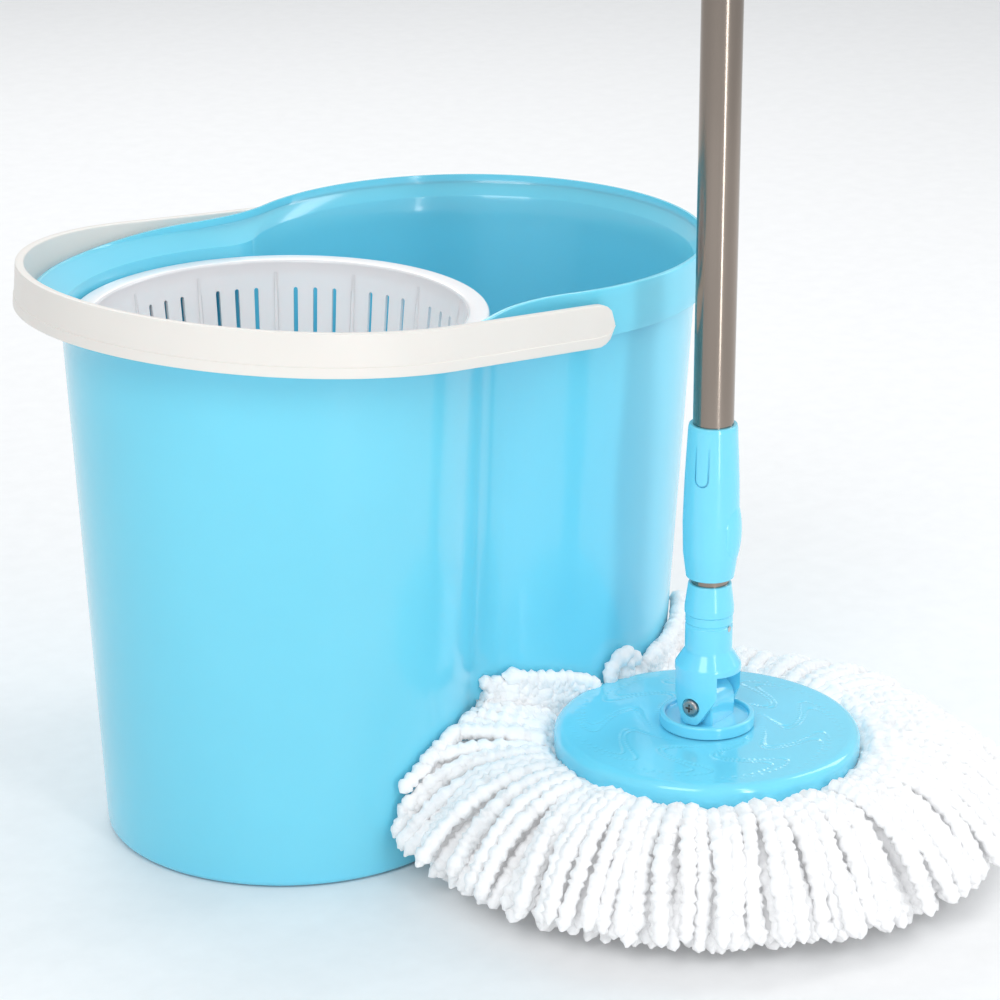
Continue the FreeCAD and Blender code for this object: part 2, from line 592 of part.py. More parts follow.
def make_swivel_base():
    """Flange with a raised bead, the tongue the yoke tilts on, and the stem through the disc."""
    bead_in = FLANGE_R - 3.0
    base = turned([
        (0, STEM_BOTTOM_Z), (STEM_R, STEM_BOTTOM_Z), (STEM_R, FLANGE_BOTTOM_Z),
        (FLANGE_R, FLANGE_BOTTOM_Z, 0.8), (FLANGE_R, FLANGE_TOP_Z + FLANGE_BEAD, 1.2),
        (bead_in, FLANGE_TOP_Z + FLANGE_BEAD, 1.0), (bead_in, FLANGE_TOP_Z, 0.8), (0, FLANGE_TOP_Z),
    ])
    tongue_r = TONGUE_HALF_D
    tongue = box(-TONGUE_HALF_T, TONGUE_HALF_T, -tongue_r, tongue_r, FLANGE_TOP_Z - 1, PIN_Z)
    eye = Part.makeCylinder(tongue_r, 2 * TONGUE_HALF_T, Vec(-TONGUE_HALF_T, 0, PIN_Z), Vec(1, 0, 0))
    tongue = tongue.fuse(eye).removeSplitter()
    tongue = soften(tongue, 1.0, lambda edge: edge.BoundBox.ZMin > FLANGE_TOP_Z - 0.9)
    base = base.fuse(tongue)
    base = base.cut(Part.makeCylinder(PIVOT_BUSH_R, 40, Vec(-20, 0, PIN_Z), Vec(1, 0, 0)))
    return base.cut(cylinder(PIN_R, STEM_BOTTOM_Z - 1, STEM_BOTTOM_Z + 12)).removeSplitter()


def make_base_screw():
    """Screw up into the stem, holding the washer under the disc's hub."""
    screw = pan_screw(PIN_R, 10 + BASE_WASHER_T, 5.0, 3.2)
    screw.rotate(Vec(0, 0, 0), Vec(1, 0, 0), 180)
    screw.translate(Vec(0, 0, STEM_BOTTOM_Z - BASE_WASHER_T))
    return screw


def make_pivot_bush():
    """Steel bush in the tongue."""
    length = 2 * TONGUE_HALF_T
    bush = Part.makeCylinder(PIVOT_BUSH_R, length, Vec(-TONGUE_HALF_T, 0, PIN_Z), Vec(1, 0, 0))
    return bush.cut(Part.makeCylinder(PIN_R + RUN_FIT, length, Vec(-TONGUE_HALF_T, 0, PIN_Z), Vec(1, 0, 0)))


# ================================================================ yoke and tubes
def make_yoke():
    """Round fork: two cheeks tapered under the pin, a shoulder, and a neck that takes the inner tube."""
    crown = turned([
        (0, YOKE_SHOULDER_Z), (YOKE_SHOULDER_R, YOKE_SHOULDER_Z), (YOKE_SHOULDER_R, YOKE_SHOULDER_Z + 3, 2.5),
        (YOKE_NECK_R, YOKE_SHOULDER_Z + 11, 3.0), (YOKE_NECK_R, YOKE_TOP_Z - 6.5, 0.3),
        (YOKE_NECK_R - 0.6, YOKE_TOP_Z - 6, 0.3), (YOKE_NECK_R - 0.6, YOKE_TOP_Z - 5, 0.3),
        (YOKE_NECK_R, YOKE_TOP_Z - 4.5, 0.3), (YOKE_NECK_R, YOKE_TOP_Z, 0.4), (INNER_TUBE_R, YOKE_TOP_Z),
        (INNER_TUBE_R, INNER_TUBE_BOTTOM_Z), (0, INNER_TUBE_BOTTOM_Z),
    ])
    top = YOKE_SHOULDER_Z + 1
    side = Part.Face(rounded_wire([
        (-CHEEK_DEPTH, top), (-CHEEK_DEPTH, PIN_Z + 6, 2.0), (-CHEEK_TIP, CHEEK_BOTTOM_Z, 3.0),
        (CHEEK_TIP, CHEEK_BOTTOM_Z, 3.0), (CHEEK_DEPTH, PIN_Z + 6, 2.0), (CHEEK_DEPTH, top)]))
    side = side.extrude(Vec(0, 60, 0))
    side.translate(Vec(0, -30, 0))
    side.rotate(Vec(0, 0, 0), Vec(0, 0, 1), 90)
    barrel = cylinder(YOKE_SHOULDER_R, CHEEK_BOTTOM_Z - 1, top)
    gap = box(-FORK_GAP / 2, FORK_GAP / 2, -30, 30, CHEEK_BOTTOM_Z - 2, YOKE_SHOULDER_Z)
    yoke = crown.fuse(barrel.common(side).cut(gap)).removeSplitter()
    for side_x in (-1, 1):
        pocket = Part.makeCylinder(SCREW_POCKET_R, 10, Vec(side_x * CHEEK_SEAT, 0, PIN_Z), Vec(side_x, 0, 0))
        yoke = yoke.cut(pocket)
    yoke = yoke.cut(Part.makeCylinder(PIN_R, 60, Vec(-30, 0, PIN_Z), Vec(1, 0, 0)))
    return yoke.cut(yoke_rivet_bar(RIVET_R))


def yoke_rivet_bar(radius):
    """Bar across the neck, through yoke and tube."""
    return Part.makeCylinder(radius, 2 * YOKE_NECK_R, Vec(0, -YOKE_NECK_R, RIVET_Z), Vec(0, 1, 0))


def make_pivot_screw():
    """Cross-head screw the yoke tilts on."""
    return along_x(pan_screw(PIN_R, 2 * CHEEK_SEAT + 5, 4.4, 2.6), -CHEEK_SEAT, PIN_Z)


def make_pivot_nut():
    """Lock nut on the far end of the pivot screw."""
    corners = []
    for i in range(7):
        angle = math.radians(60 * i)
        corners.append(Vec(4.6 * math.cos(angle), 4.6 * math.sin(angle), 0))
    nut = Part.Face(Part.makePolygon(corners)).extrude(Vec(0, 0, 4.0))
    nut = nut.common(turned([(0, 0), (4.6, 0, 0.5), (4.6, 4.0, 0.8), (0, 4.0)]))
    return along_x(nut.cut(cylinder(PIN_R, -1, 5)), CHEEK_SEAT + 4.0, PIN_Z)


def make_yoke_collar():
    """Tapered collar between the yoke's neck and the tube."""
    foot_r = YOKE_NECK_R + 0.5
    return turned([(INNER_TUBE_R, YOKE_TOP_Z), (foot_r, YOKE_TOP_Z, 0.8), (foot_r, YOKE_TOP_Z + 4, 3.0),
                   (INNER_TUBE_R + 1.5, COLLAR_TOP_Z, 0.7), (INNER_TUBE_R, COLLAR_TOP_Z)])


def make_inner_tube():
    """Thin steel tube that turns with the head."""
    pipe = tube(INNER_TUBE_R, INNER_TUBE_R - TUBE_WALL, INNER_TUBE_BOTTOM_Z, INNER_TUBE_TOP_Z)
    return pipe.cut(yoke_rivet_bar(RIVET_R))


def make_drive_nut():
    """Nut the twisted rod runs through: a slotted plate, a plug in the tube and a neck above."""
    bore = ROD_W / 2 + 0.6
    tube_in = INNER_TUBE_R - TUBE_WALL
    plug_low = INNER_TUBE_TOP_Z - NUT_PLUG
    nut = turned([
        (bore, plug_low), (tube_in, plug_low), (tube_in, INNER_TUBE_TOP_Z),
        (INNER_TUBE_R, INNER_TUBE_TOP_Z), (INNER_TUBE_R, INNER_TUBE_TOP_Z + NUT_PLATE_T),
        (NUT_NECK_R, INNER_TUBE_TOP_Z + NUT_PLATE_T), (NUT_NECK_R, NUT_TOP_Z), (bore, NUT_TOP_Z),
    ])
    plate = cylinder(bore + 0.5, INNER_TUBE_TOP_Z, INNER_TUBE_TOP_Z + NUT_PLATE_T)
    half_twist = math.pi * NUT_PLATE_T / ROD_PITCH
    slot_half = ROD_T / 2 * math.cos(half_twist) + ROD_W / 2 * math.sin(half_twist) + 0.2
    slot = box(-bore, bore, -slot_half, slot_half, INNER_TUBE_TOP_Z - 1, INNER_TUBE_TOP_Z + NUT_PLATE_T + 1)
    middle = INNER_TUBE_TOP_Z + NUT_PLATE_T / 2
    slot.rotate(Vec(0, 0, 0), Vec(0, 0, 1), rod_angle(middle))
    slot = slot.common(cylinder(bore, INNER_TUBE_TOP_Z - 2, INNER_TUBE_TOP_Z + NUT_PLATE_T + 2))
    return nut.fuse(plate.cut(slot)).removeSplitter()


def rod_angle(height):
    """Turn of the rod's flat section at a height, in degrees."""
    return 360.0 * (height - ROD_BOTTOM_Z) / ROD_PITCH


def make_twisted_rod():
    """Flat steel bar twisted to ROD_PITCH, with a round tenon in the coupler."""
    length = COUPLER_BOTTOM_Z - ROD_BOTTOM_Z
    steps = int(round(length / ROD_PITCH * 16))
    sections = []
    for i in range(steps + 1):
        height = ROD_BOTTOM_Z + length * i / steps
        x, y = ROD_W / 2, ROD_T / 2
        section = Part.makePolygon([Vec(-x, -y, height), Vec(x, -y, height), Vec(x, y, height),
                                    Vec(-x, y, height), Vec(-x, -y, height)])
        section.rotate(Vec(0, 0, 0), Vec(0, 0, 1), rod_angle(height))
        sections.append(section)
    rod = Part.makeLoft(sections, True, True)
    tenon = cylinder(ROD_T, COUPLER_BOTTOM_Z, COUPLER_BOTTOM_Z + 12)
    foot = cylinder(ROD_T / 2, ROD_BOTTOM_Z - ROD_STOP_T, ROD_BOTTOM_Z)
    return rod.fuse([tenon, foot])


def make_rod_stop():
    """Washer riveted on the rod's end: it meets the drive nut at full length."""
    return tube(INNER_TUBE_R - TUBE_WALL - 1.0, ROD_T / 2, ROD_BOTTOM_Z - ROD_STOP_T, ROD_BOTTOM_Z)


def make_nut_clip():
    """Clip on the drive nut's neck that keeps the guide bush."""
    return tube(NUT_NECK_R + 2.4, NUT_NECK_R, NUT_CLIP_Z, NUT_CLIP_Z + NUT_CLIP_T)


def make_guide_bush():
    """Bush that turns with the outer tube and slides along its bore."""
    return tube(OUTER_TUBE_R - TUBE_WALL - RUN_FIT, NUT_NECK_R + RUN_FIT, GUIDE_BOTTOM_Z, GUIDE_TOP_Z)


def make_lock_bush():
    """Bush on the outer tube's end, running on the inner tube."""
    return turned([
        (INNER_TUBE_R + RUN_FIT, SLEEVE_BOTTOM_Z + 1.5), (LOCK_BUSH_R, SLEEVE_BOTTOM_Z + 1.5, 0.5),
        (LOCK_BUSH_R, OUTER_TUBE_BOTTOM_Z + 20, 0.5), (OUTER_TUBE_R, OUTER_TUBE_BOTTOM_Z + 20),
        (OUTER_TUBE_R, OUTER_TUBE_BOTTOM_Z), (INNER_TUBE_R + RUN_FIT, OUTER_TUBE_BOTTOM_Z),
    ])


def make_lock_sleeve():
    """Twist-lock sleeve with a sprung U tongue and a thumb swell."""
    inner = LOCK_BUSH_R + RUN_FIT
    upper = OUTER_TUBE_R + RUN_FIT
    ledge = OUTER_TUBE_BOTTOM_Z + 20 + BODY_GAP
    end_r = LOCK_BUSH_R + 0.8
    waist_r = LOCK_BUSH_R + 2.6
    sleeve = turned([
        (inner, SLEEVE_BOTTOM_Z), (end_r, SLEEVE_BOTTOM_Z, 0.4), (waist_r, SLEEVE_BOTTOM_Z + 13, 14.0),
        (waist_r + 0.5, SLEEVE_BOTTOM_Z + 30, 30.0), (waist_r - 0.2, SLEEVE_TOP_Z - 28, 40.0),
        (end_r + 0.3, SLEEVE_TOP_Z - 2, 6.0), (end_r - 0.2, SLEEVE_TOP_Z, 0.6), (upper, SLEEVE_TOP_Z),
        (upper, ledge), (inner, ledge),
    ])
    swell = Part.makeSphere(12.0)
    stretch = FreeCAD.Matrix()
    stretch.scale(0.55, 0.8, 1.75)
    swell = swell.transformGeometry(stretch)
    swell.translate(Vec(OUTER_TUBE_R - 1, 0, SLEEVE_BOTTOM_Z + 26))
    swell.rotate(Vec(0, 0, 0), Vec(0, 0, 1), THUMB_ANGLE)
    core = cylinder(inner, SLEEVE_BOTTOM_Z - 1, SLEEVE_TOP_Z + 1)
    sleeve = sleeve.fuse(swell.cut(core))
    width, slit, low, high = 8.0, 0.9, SLEEVE_TOP_Z - 31, SLEEVE_TOP_Z - 14
    arch = cylinder(width / 2, 0, 30).cut(cylinder(width / 2 - slit, -1, 31))
    arch = arch.common(box(-20, 20, -20, 0, -1, 31))
    legs = box(-width / 2, -width / 2 + slit, 0, high - low, 0, 30)
    legs = legs.fuse(box(width / 2 - slit, width / 2, 0, high - low, 0, 30))
    slits = arch.fuse(legs)
    slits.rotate(Vec(0, 0, 0), Vec(1, 0, 0), 90)
    slits.translate(Vec(0, 0, low + width / 2))
    slits = slits.cut(cylinder(waist_r - 1.4, low - 5, high + 9))
    slits.rotate(Vec(0, 0, 0), Vec(0, 0, 1), TONGUE_ANGLE)
    return sleeve.cut(slits).removeSplitter()


def make_tube_coupler():
    """Plug that joins the two outer tubes and holds the twisted rod."""
    plug = cylinder(OUTER_TUBE_R - TUBE_WALL, COUPLER_BOTTOM_Z, TUBE_SEAM_Z + COUPLER_HALF)
    return plug.cut(cylinder(ROD_T, COUPLER_BOTTOM_Z - 1, COUPLER_BOTTOM_Z + 12))


def make_grip():
    """Hand grip with finger grooves round it."""
    points = [(OUTER_TUBE_R, GRIP_BOTTOM_Z), (OUTER_TUBE_R + 1.6, GRIP_BOTTOM_Z, 0.8),
              (GRIP_R, GRIP_BOTTOM_Z + 6, 3.0)]
    grooves = 5
    pitch = (GRIP_TOP_Z - GRIP_BOTTOM_Z - 34) / grooves
    for i in range(grooves):
        start = GRIP_BOTTOM_Z + 16 + pitch * i
        points += [(GRIP_R, start, 1.5), (GRIP_R - 1.3, start + 2.5, 1.5),
                   (GRIP_R - 1.3, start + pitch - 9, 1.5), (GRIP_R, start + pitch - 6.5, 1.5)]
    points += [(GRIP_R, GRIP_TOP_Z, 1.0), (OUTER_TUBE_R, GRIP_TOP_Z)]
    return turned(points)


def make_grip_cap():
    """End cap with a hanging eye."""
    plug_r = OUTER_TUBE_R - TUBE_WALL
    cap = turned([(0, UPPER_TUBE_TOP_Z - 14), (plug_r, UPPER_TUBE_TOP_Z - 14), (plug_r, UPPER_TUBE_TOP_Z),
                  (OUTER_TUBE_R, UPPER_TUBE_TOP_Z), (OUTER_TUBE_R, GRIP_TOP_Z), (GRIP_R, GRIP_TOP_Z, 0.6),
                  (GRIP_R, GRIP_TOP_Z + 5, 3.0), (6.0, GRIP_TOP_Z + 8), (0, GRIP_TOP_Z + 8)])
    eye_z = MOP_TOP_Z - 11.0
    eye = Part.makeCylinder(11.0, 7.0, Vec(0, 3.5, eye_z), Vec(0, -1, 0))
    eye = eye.fuse(box(-11, 11, -3.5, 3.5, GRIP_TOP_Z + 4, eye_z))
    eye = eye.cut(Part.makeCylinder(6.5, 9.0, Vec(0, 4.5, eye_z), Vec(0, -1, 0)))
    return cap.fuse(eye).removeSplitter()


# ================================================================ assembly
def make_nodes():
    """Every piece, by its node name, in its place."""
    nodes = {
        "bucket_body": make_bucket_body(),
        "spindle_tower": make_spindle_tower(),
        "tower_screws": Part.makeCompound(make_tower_screws()),
        "spindle_pin": make_spindle_pin(),
        "spindle_washer": tube(WASHER_R, SPINDLE_R, TOWER_TOP_Z, WASHER_TOP_Z),
        "spindle_clip": tube(SPINDLE_R + 2.6, SPINDLE_R, CLIP_BOTTOM_Z, CLIP_BOTTOM_Z + CLIP_T),
        "basket": make_basket(),
        "basket_bush": make_basket_bush(),
        "basket_cap": make_basket_cap(),
        "bail_handle": make_bail_handle(),
        "bail_clips": Part.makeCompound(make_bail_clips()),
        "mop_yarn": make_mop_yarn(),
    }
    mop = {
        "mop_disc": make_mop_disc(),
        "refill_ring": make_refill_ring(),
        "swivel_base": make_swivel_base(),
        "base_washer": tube(STEM_R + 5, PIN_R, STEM_BOTTOM_Z - BASE_WASHER_T, STEM_BOTTOM_Z),
        "base_screw": make_base_screw(),
        "pivot_bush": make_pivot_bush(),
        "yoke": make_yoke(),
        "pivot_screw": make_pivot_screw(),
        "pivot_nut": make_pivot_nut(),
        "yoke_rivet": yoke_rivet_bar(RIVET_R),
        "yoke_collar": make_yoke_collar(),
        "inner_tube": make_inner_tube(),
        "drive_nut": make_drive_nut(),
        "nut_clip": make_nut_clip(),
        "guide_bush": make_guide_bush(),
        "lock_bush": make_lock_bush(),
        "lock_sleeve": make_lock_sleeve(),
        "outer_tube": tube(OUTER_TUBE_R, OUTER_TUBE_R - TUBE_WALL, OUTER_TUBE_BOTTOM_Z, TUBE_SEAM_Z),
        "upper_tube": tube(OUTER_TUBE_R, OUTER_TUBE_R - TUBE_WALL, TUBE_SEAM_Z, UPPER_TUBE_TOP_Z),
        "tube_coupler": make_tube_coupler(),
        "twisted_rod": make_twisted_rod(),
        "rod_stop": make_rod_stop(),
        "grip": make_grip(),
        "grip_cap": make_grip_cap(),
    }
    for name, shape in mop.items():
        nodes[name] = at_mop(shape)
    return nodes


FASTENER_GROUPS = {"tower_screws": TOWER_SCREWS, "bail_clips": 2}


def main():
    """Write one STEP file for each node; like fasteners share a node."""
    os.makedirs("parts", exist_ok=True)
    for name, shape in make_nodes().items():
        found = len(shape.Solids)
        print(name, found, shape.isValid(), round(shape.Volume / 1000, 2))
        if found != FASTENER_GROUPS.get(name, 1):
            raise RuntimeError(f"{name} has {found} solids")
        kept = shape if name in FASTENER_GROUPS else shape.Solids[0]
        kept.exportStep(os.path.join("parts", f"{name}.step"))


main()
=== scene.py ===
import json
import math
import random

import bmesh
import bpy
from mathutils import Matrix, Vector


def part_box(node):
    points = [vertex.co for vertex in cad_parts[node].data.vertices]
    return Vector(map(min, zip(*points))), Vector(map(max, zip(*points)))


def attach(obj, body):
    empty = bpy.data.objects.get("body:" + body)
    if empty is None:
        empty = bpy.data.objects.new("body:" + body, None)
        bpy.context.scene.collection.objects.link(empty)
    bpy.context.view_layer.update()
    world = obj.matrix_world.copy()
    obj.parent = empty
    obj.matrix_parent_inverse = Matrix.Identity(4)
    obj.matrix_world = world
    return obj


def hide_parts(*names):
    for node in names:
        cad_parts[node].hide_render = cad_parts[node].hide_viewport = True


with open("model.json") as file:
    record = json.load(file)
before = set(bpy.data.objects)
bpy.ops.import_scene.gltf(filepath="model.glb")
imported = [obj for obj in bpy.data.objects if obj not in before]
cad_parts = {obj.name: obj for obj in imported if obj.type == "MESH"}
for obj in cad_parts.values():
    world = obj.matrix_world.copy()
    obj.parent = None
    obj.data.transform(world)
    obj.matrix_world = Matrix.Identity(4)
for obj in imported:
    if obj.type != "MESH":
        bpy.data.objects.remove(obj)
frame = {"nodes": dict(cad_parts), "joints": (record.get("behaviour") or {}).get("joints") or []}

bl_info = {
    "name": "Spin mop set",
    "version": (1, 0, 0),
    "blender": (4, 5, 0),
    "location": "View3D > Sidebar > Spin mop",
    "description": "Oval bucket with a spin basket and a bail, and a mop with a round yarn head",
    "category": "Object",
}

MM = 0.001

# ---------------------------------------------------------------- places read from the frame
BUCKET_LOW, BUCKET_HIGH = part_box("bucket_body")
BASKET_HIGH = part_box("basket")[1]
DISC_LOW, DISC_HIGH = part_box("mop_disc")
YARN_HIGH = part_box("mop_yarn")[1]
BUSH_LOW, BUSH_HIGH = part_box("basket_bush")
JOINT_PLACE = {joint["name"]: joint.get("pos_m") for joint in frame["joints"]}

RIM_R = (-BUCKET_LOW.x, BUCKET_HIGH.y)
LOBE_DISTANCE = BUCKET_HIGH.x - BUCKET_HIGH.y
RIM_STEP = 4 * MM
RIM_TOP = (BUCKET_HIGH.z - RIM_STEP, BUCKET_HIGH.z)
BASKET_RIM_R = BASKET_HIGH.x
BASKET_RIM_Z = BASKET_HIGH.z
DISC_CENTRE = ((DISC_LOW.x + DISC_HIGH.x) / 2, (DISC_LOW.y + DISC_HIGH.y) / 2)
DISC_R = (DISC_HIGH.x - DISC_LOW.x) / 2
DISC_TOP_Z = DISC_HIGH.z
DISC_EDGE_Z = DISC_LOW.z
PIVOT = JOINT_PLACE["bail_swing"]

# ---------------------------------------------------------------- bucket shape, metres
FOOT_R = (100 * MM, 108 * MM)
WALL_TOP_R = (114 * MM, 125 * MM)
WALL_TOP_Z = 280 * MM
WAIST_FILLET = 22 * MM
WALL_T = 2.4 * MM
FLOOR_T = 4 * MM
RIM_FILLET = 85 * MM
RIM_LIP_W = 2 * MM
RIM_DISH = 8 * MM
RIM_SKIN = 2.6 * MM
SKIRT_T = 2.2 * MM
SKIRT_H = (6 * MM, 26 * MM)
RISE_X = (-45 * MM, 60 * MM)
ARC_STEPS = 96
WAIST_STEPS = 28
BOSS_COUNT = 3
BOSS_CIRCLE_R = 48 * MM
BOSS_FIRST_TURN = 90

# ---------------------------------------------------------------- basket shape
PANELS = 14
SLOTS_PER_PANEL = 4
BASKET_WALL_T = 2.2 * MM
BASKET_RIM_W = 10 * MM
BASKET_FOOT_R = BASKET_RIM_R - 24 * MM
BASKET_FLOOR_Z = BASKET_RIM_Z - 127 * MM
BASKET_FLOOR_T = 3 * MM
BASKET_HUB_R = 13 * MM
SLOT_HALF = 1.2 * MM
DRAIN_HALF = 1.6 * MM
SLOT_BANDS = ((12 * MM, 52 * MM), (60 * MM, 112 * MM))
DRAIN_BANDS = ((24 * MM, 46 * MM), (52 * MM, 78 * MM))

# ---------------------------------------------------------------- bail shape
BAIL_T = 5 * MM
BAIL_H = 22.5 * MM
BAIL_INNER_R = RIM_R[0] + 3.4 * MM
BAIL_ARM_Y = RIM_R[1] + 1.1 * MM
BAIL_REST = math.radians(5.4)
BAIL_LIP_IN = 4.4 * MM
BAIL_LIP_T = 2.4 * MM
BAIL_PIN_R = 3.2 * MM
BAIL_BOSS_R = 8 * MM
BAIL_GAP = 0.4 * MM

# ---------------------------------------------------------------- mop shape
DISC_BORE_R = 12.1 * MM
DISC_SKIN = 3 * MM
DISC_HUB_R = 19 * MM
SWIRL_IN = 27 * MM
SWIRL_OUT = 75 * MM
SWIRL_LINE_HALF = 0.75 * MM
DISC_STEPS = 720
DISC_ROWS = 62

# ---------------------------------------------------------------- yarn shape
YARN_REACH = 151 * MM           # from the mop's axis, before the two shares below
YARN_SPREAD = 8 * MM            # more along one diagonal, less across it
YARN_BACK_SPREAD = 20 * MM      # more on the far side
FALL_HEADING = math.radians(133)
SPREAD_HEADING = math.radians(43)
YARN_FALL = (2.3, 1.1)          # how late the strands drop: everywhere, and more on the far side
CLIMB_Z = 86 * MM               # top of the first row where it stands up the bucket's wall
CLIMB_ROW_STEP = 9 * MM
CLIMB_RUN = 60 * MM             # length a strand must be short of to stand up fully
STRAND_SEED = 11
STRAND_POINTS = 26
STRAND_SWAY = 0.035             # largest drift to one side, radians
STRAND_STEP = 1.65 * MM
STRAND_FUZZ = 2.6 * MM
BUCKET_CLEARANCE = 1.2 * MM

# ---------------------------------------------------------------- view
CAMERA_PLACE = (-1.1163, -1.3444, 0.8030)
CAMERA_HEADING = math.radians(43.49)
CAMERA_DIP = math.radians(19.64)
CAMERA_LENS = 124.7
SENSOR_WIDTH = 36
FAR_CLIP = 50
WORLD_COLOUR = (0.97, 0.985, 1.0, 1)
WORLD_STRENGTH = 0.68
FLOOR_HALF = 7.0
FLOOR_DROP = 0.5 * MM
LIGHT_TARGET = (0.06, -0.03, 0.16)
LIGHTS = (                      # name, place, width, height, power
    ("key_light", (-1.7, -0.9, 1.8), 1.1, 1.1, 16),
    ("strip_light", (-0.43, -2.2, 1.0), 0.2, 2.4, 9),
    ("low_light", (-0.16, -1.05, 0.24), 0.07, 0.5, 0.9),
    ("side_light", (1.5, -0.6, 1.2), 0.5, 1.4, 8),
    ("back_light", (0.9, 1.6, 1.5), 1.6, 0.8, 12),
)


# ================================================================ user settings
class SpinMopColours(bpy.types.PropertyGroup):
    """Colours of the set's materials."""
    bucket: bpy.props.FloatVectorProperty(
        name="Bucket blue", description="Moulded plastic of the bucket and the mop's fittings",
        subtype="COLOR", size=3, min=0, max=1, default=(0.175, 0.665, 0.87))
    basket: bpy.props.FloatVectorProperty(
        name="Basket white", description="Plastic of the spin basket",
        subtype="COLOR", size=3, min=0, max=1, default=(0.86, 0.88, 0.90))
    bail: bpy.props.FloatVectorProperty(
        name="Bail white", description="Plastic of the bail",
        subtype="COLOR", size=3, min=0, max=1, default=(0.78, 0.75, 0.71))
    yarn: bpy.props.FloatVectorProperty(
        name="Yarn white", description="Yarn of the mop head",
        subtype="COLOR", size=3, min=0, max=1, default=(0.95, 0.955, 0.965))
    tube: bpy.props.FloatVectorProperty(
        name="Tube steel", description="Brushed tubes of the mop's handle",
        subtype="COLOR", size=3, min=0, max=1, default=(0.30, 0.255, 0.22))


class SpinMopSizes(bpy.types.PropertyGroup):
    """Sizes of the visible detail."""
    strand_rows: bpy.props.IntProperty(
        name="Yarn rows", description="Rows of strands, one over the other", default=5, min=1, max=8)
    strands_per_row: bpy.props.IntProperty(
        name="Strands in a row", description="Strands around the mop head", default=112, min=20, max=160)
    strand_width: bpy.props.FloatProperty(
        name="Strand width", description="Width of one strand", subtype="DISTANCE", unit="LENGTH",
        default=0.0092, min=0.003, max=0.012)
    knob_pitch: bpy.props.FloatProperty(
        name="Knob pitch", description="Distance from knob to knob along a strand", subtype="DISTANCE",
        unit="LENGTH", default=0.0066, min=0.003, max=0.02)
    swirl_depth: bpy.props.FloatProperty(
        name="Swirl depth", description="Depth of the fine lines on the mop's disc", subtype="DISTANCE",
        unit="LENGTH", default=0.00045, min=0.0, max=0.001)


# ================================================================ materials
def shader(name):
    """New node material; returns it with its node tree and its Principled shader."""
    material = bpy.data.materials.new(name)
    material.use_nodes = True
    tree = material.node_tree
    return material, tree, tree.nodes["Principled BSDF"]


def object_coordinates(tree, scale=(1, 1, 1)):
    """Object coordinates, scaled."""
    place = tree.nodes.new("ShaderNodeTexCoord")
    mapping = tree.nodes.new("ShaderNodeMapping")
    mapping.inputs["Scale"].default_value = scale
    tree.links.new(place.outputs["Object"], mapping.inputs["Vector"])
    return mapping.outputs["Vector"]


def noise(tree, vector, scale, detail=3.0, roughness=0.5):
    """Noise texture's value."""
    node = tree.nodes.new("ShaderNodeTexNoise")
    node.inputs["Scale"].default_value = scale
    node.inputs["Detail"].default_value = detail
    node.inputs["Roughness"].default_value = roughness
    tree.links.new(vector, node.inputs["Vector"])
    return node.outputs["Fac"]


def ramp(tree, value, stops):
    """Colour ramp over (position, colour) stops."""
    node = tree.nodes.new("ShaderNodeValToRGB")
    elements = node.color_ramp.elements
    while len(elements) < len(stops):
        elements.new(0.5)
    for element, (position, colour) in zip(elements, stops):
        element.position = position
        element.color = (*colour, 1)
    tree.links.new(value, node.inputs["Fac"])
    return node.outputs["Color"]


def remap(tree, value, low, high, from_low=0.3, from_high=0.7):
    """Value spread between two limits."""
    node = tree.nodes.new("ShaderNodeMapRange")
    node.inputs["From Min"].default_value = from_low
    node.inputs["From Max"].default_value = from_high
    node.inputs["To Min"].default_value = low
    node.inputs["To Max"].default_value = high
    tree.links.new(value, node.inputs["Value"])
    return node.outputs["Result"]


def bump(tree, bsdf, height, strength, distance):
    """Bump from a height."""
    node = tree.nodes.new("ShaderNodeBump")
    node.inputs["Strength"].default_value = strength
    node.inputs["Distance"].default_value = distance
    tree.links.new(height, node.inputs["Height"])
    tree.links.new(node.outputs["Normal"], bsdf.inputs["Normal"])


def shade(colour, factor):
    """Colour made lighter or darker."""
    return tuple(min(1.0, part * factor) for part in colour)


def moulded_plastic(name, colour, roughness, coat, glow=0.0):
    """Moulded plastic: faint flow clouding, fine skin texture and rubbed patches in the gloss."""
    material, tree, bsdf = shader(name)
    vector = object_coordinates(tree)
    cloud = noise(tree, vector, 7.0, 4.0, 0.55)
    colours = ramp(tree, cloud, [(0.3, shade(colour, 0.97)), (0.7, shade(colour, 1.03))])
    tree.links.new(colours, bsdf.inputs["Base Color"])
    rubbed = noise(tree, vector, 38.0, 6.0, 0.62)
    tree.links.new(remap(tree, rubbed, roughness * 0.85, roughness * 1.15), bsdf.inputs["Roughness"])
    skin = noise(tree, vector, 900.0, 2.0, 0.5)
    bump(tree, bsdf, skin, 0.04, 0.0002)
    bsdf.inputs["Coat Weight"].default_value = coat
    bsdf.inputs["Coat Roughness"].default_value = 0.06
    bsdf.inputs["IOR"].default_value = 1.49
    if glow:
        bsdf.inputs["Subsurface Weight"].default_value = glow
        bsdf.inputs["Subsurface Radius"].default_value = (0.4, 0.9, 1.0)
        bsdf.inputs["Subsurface Scale"].default_value = 0.006
    return material


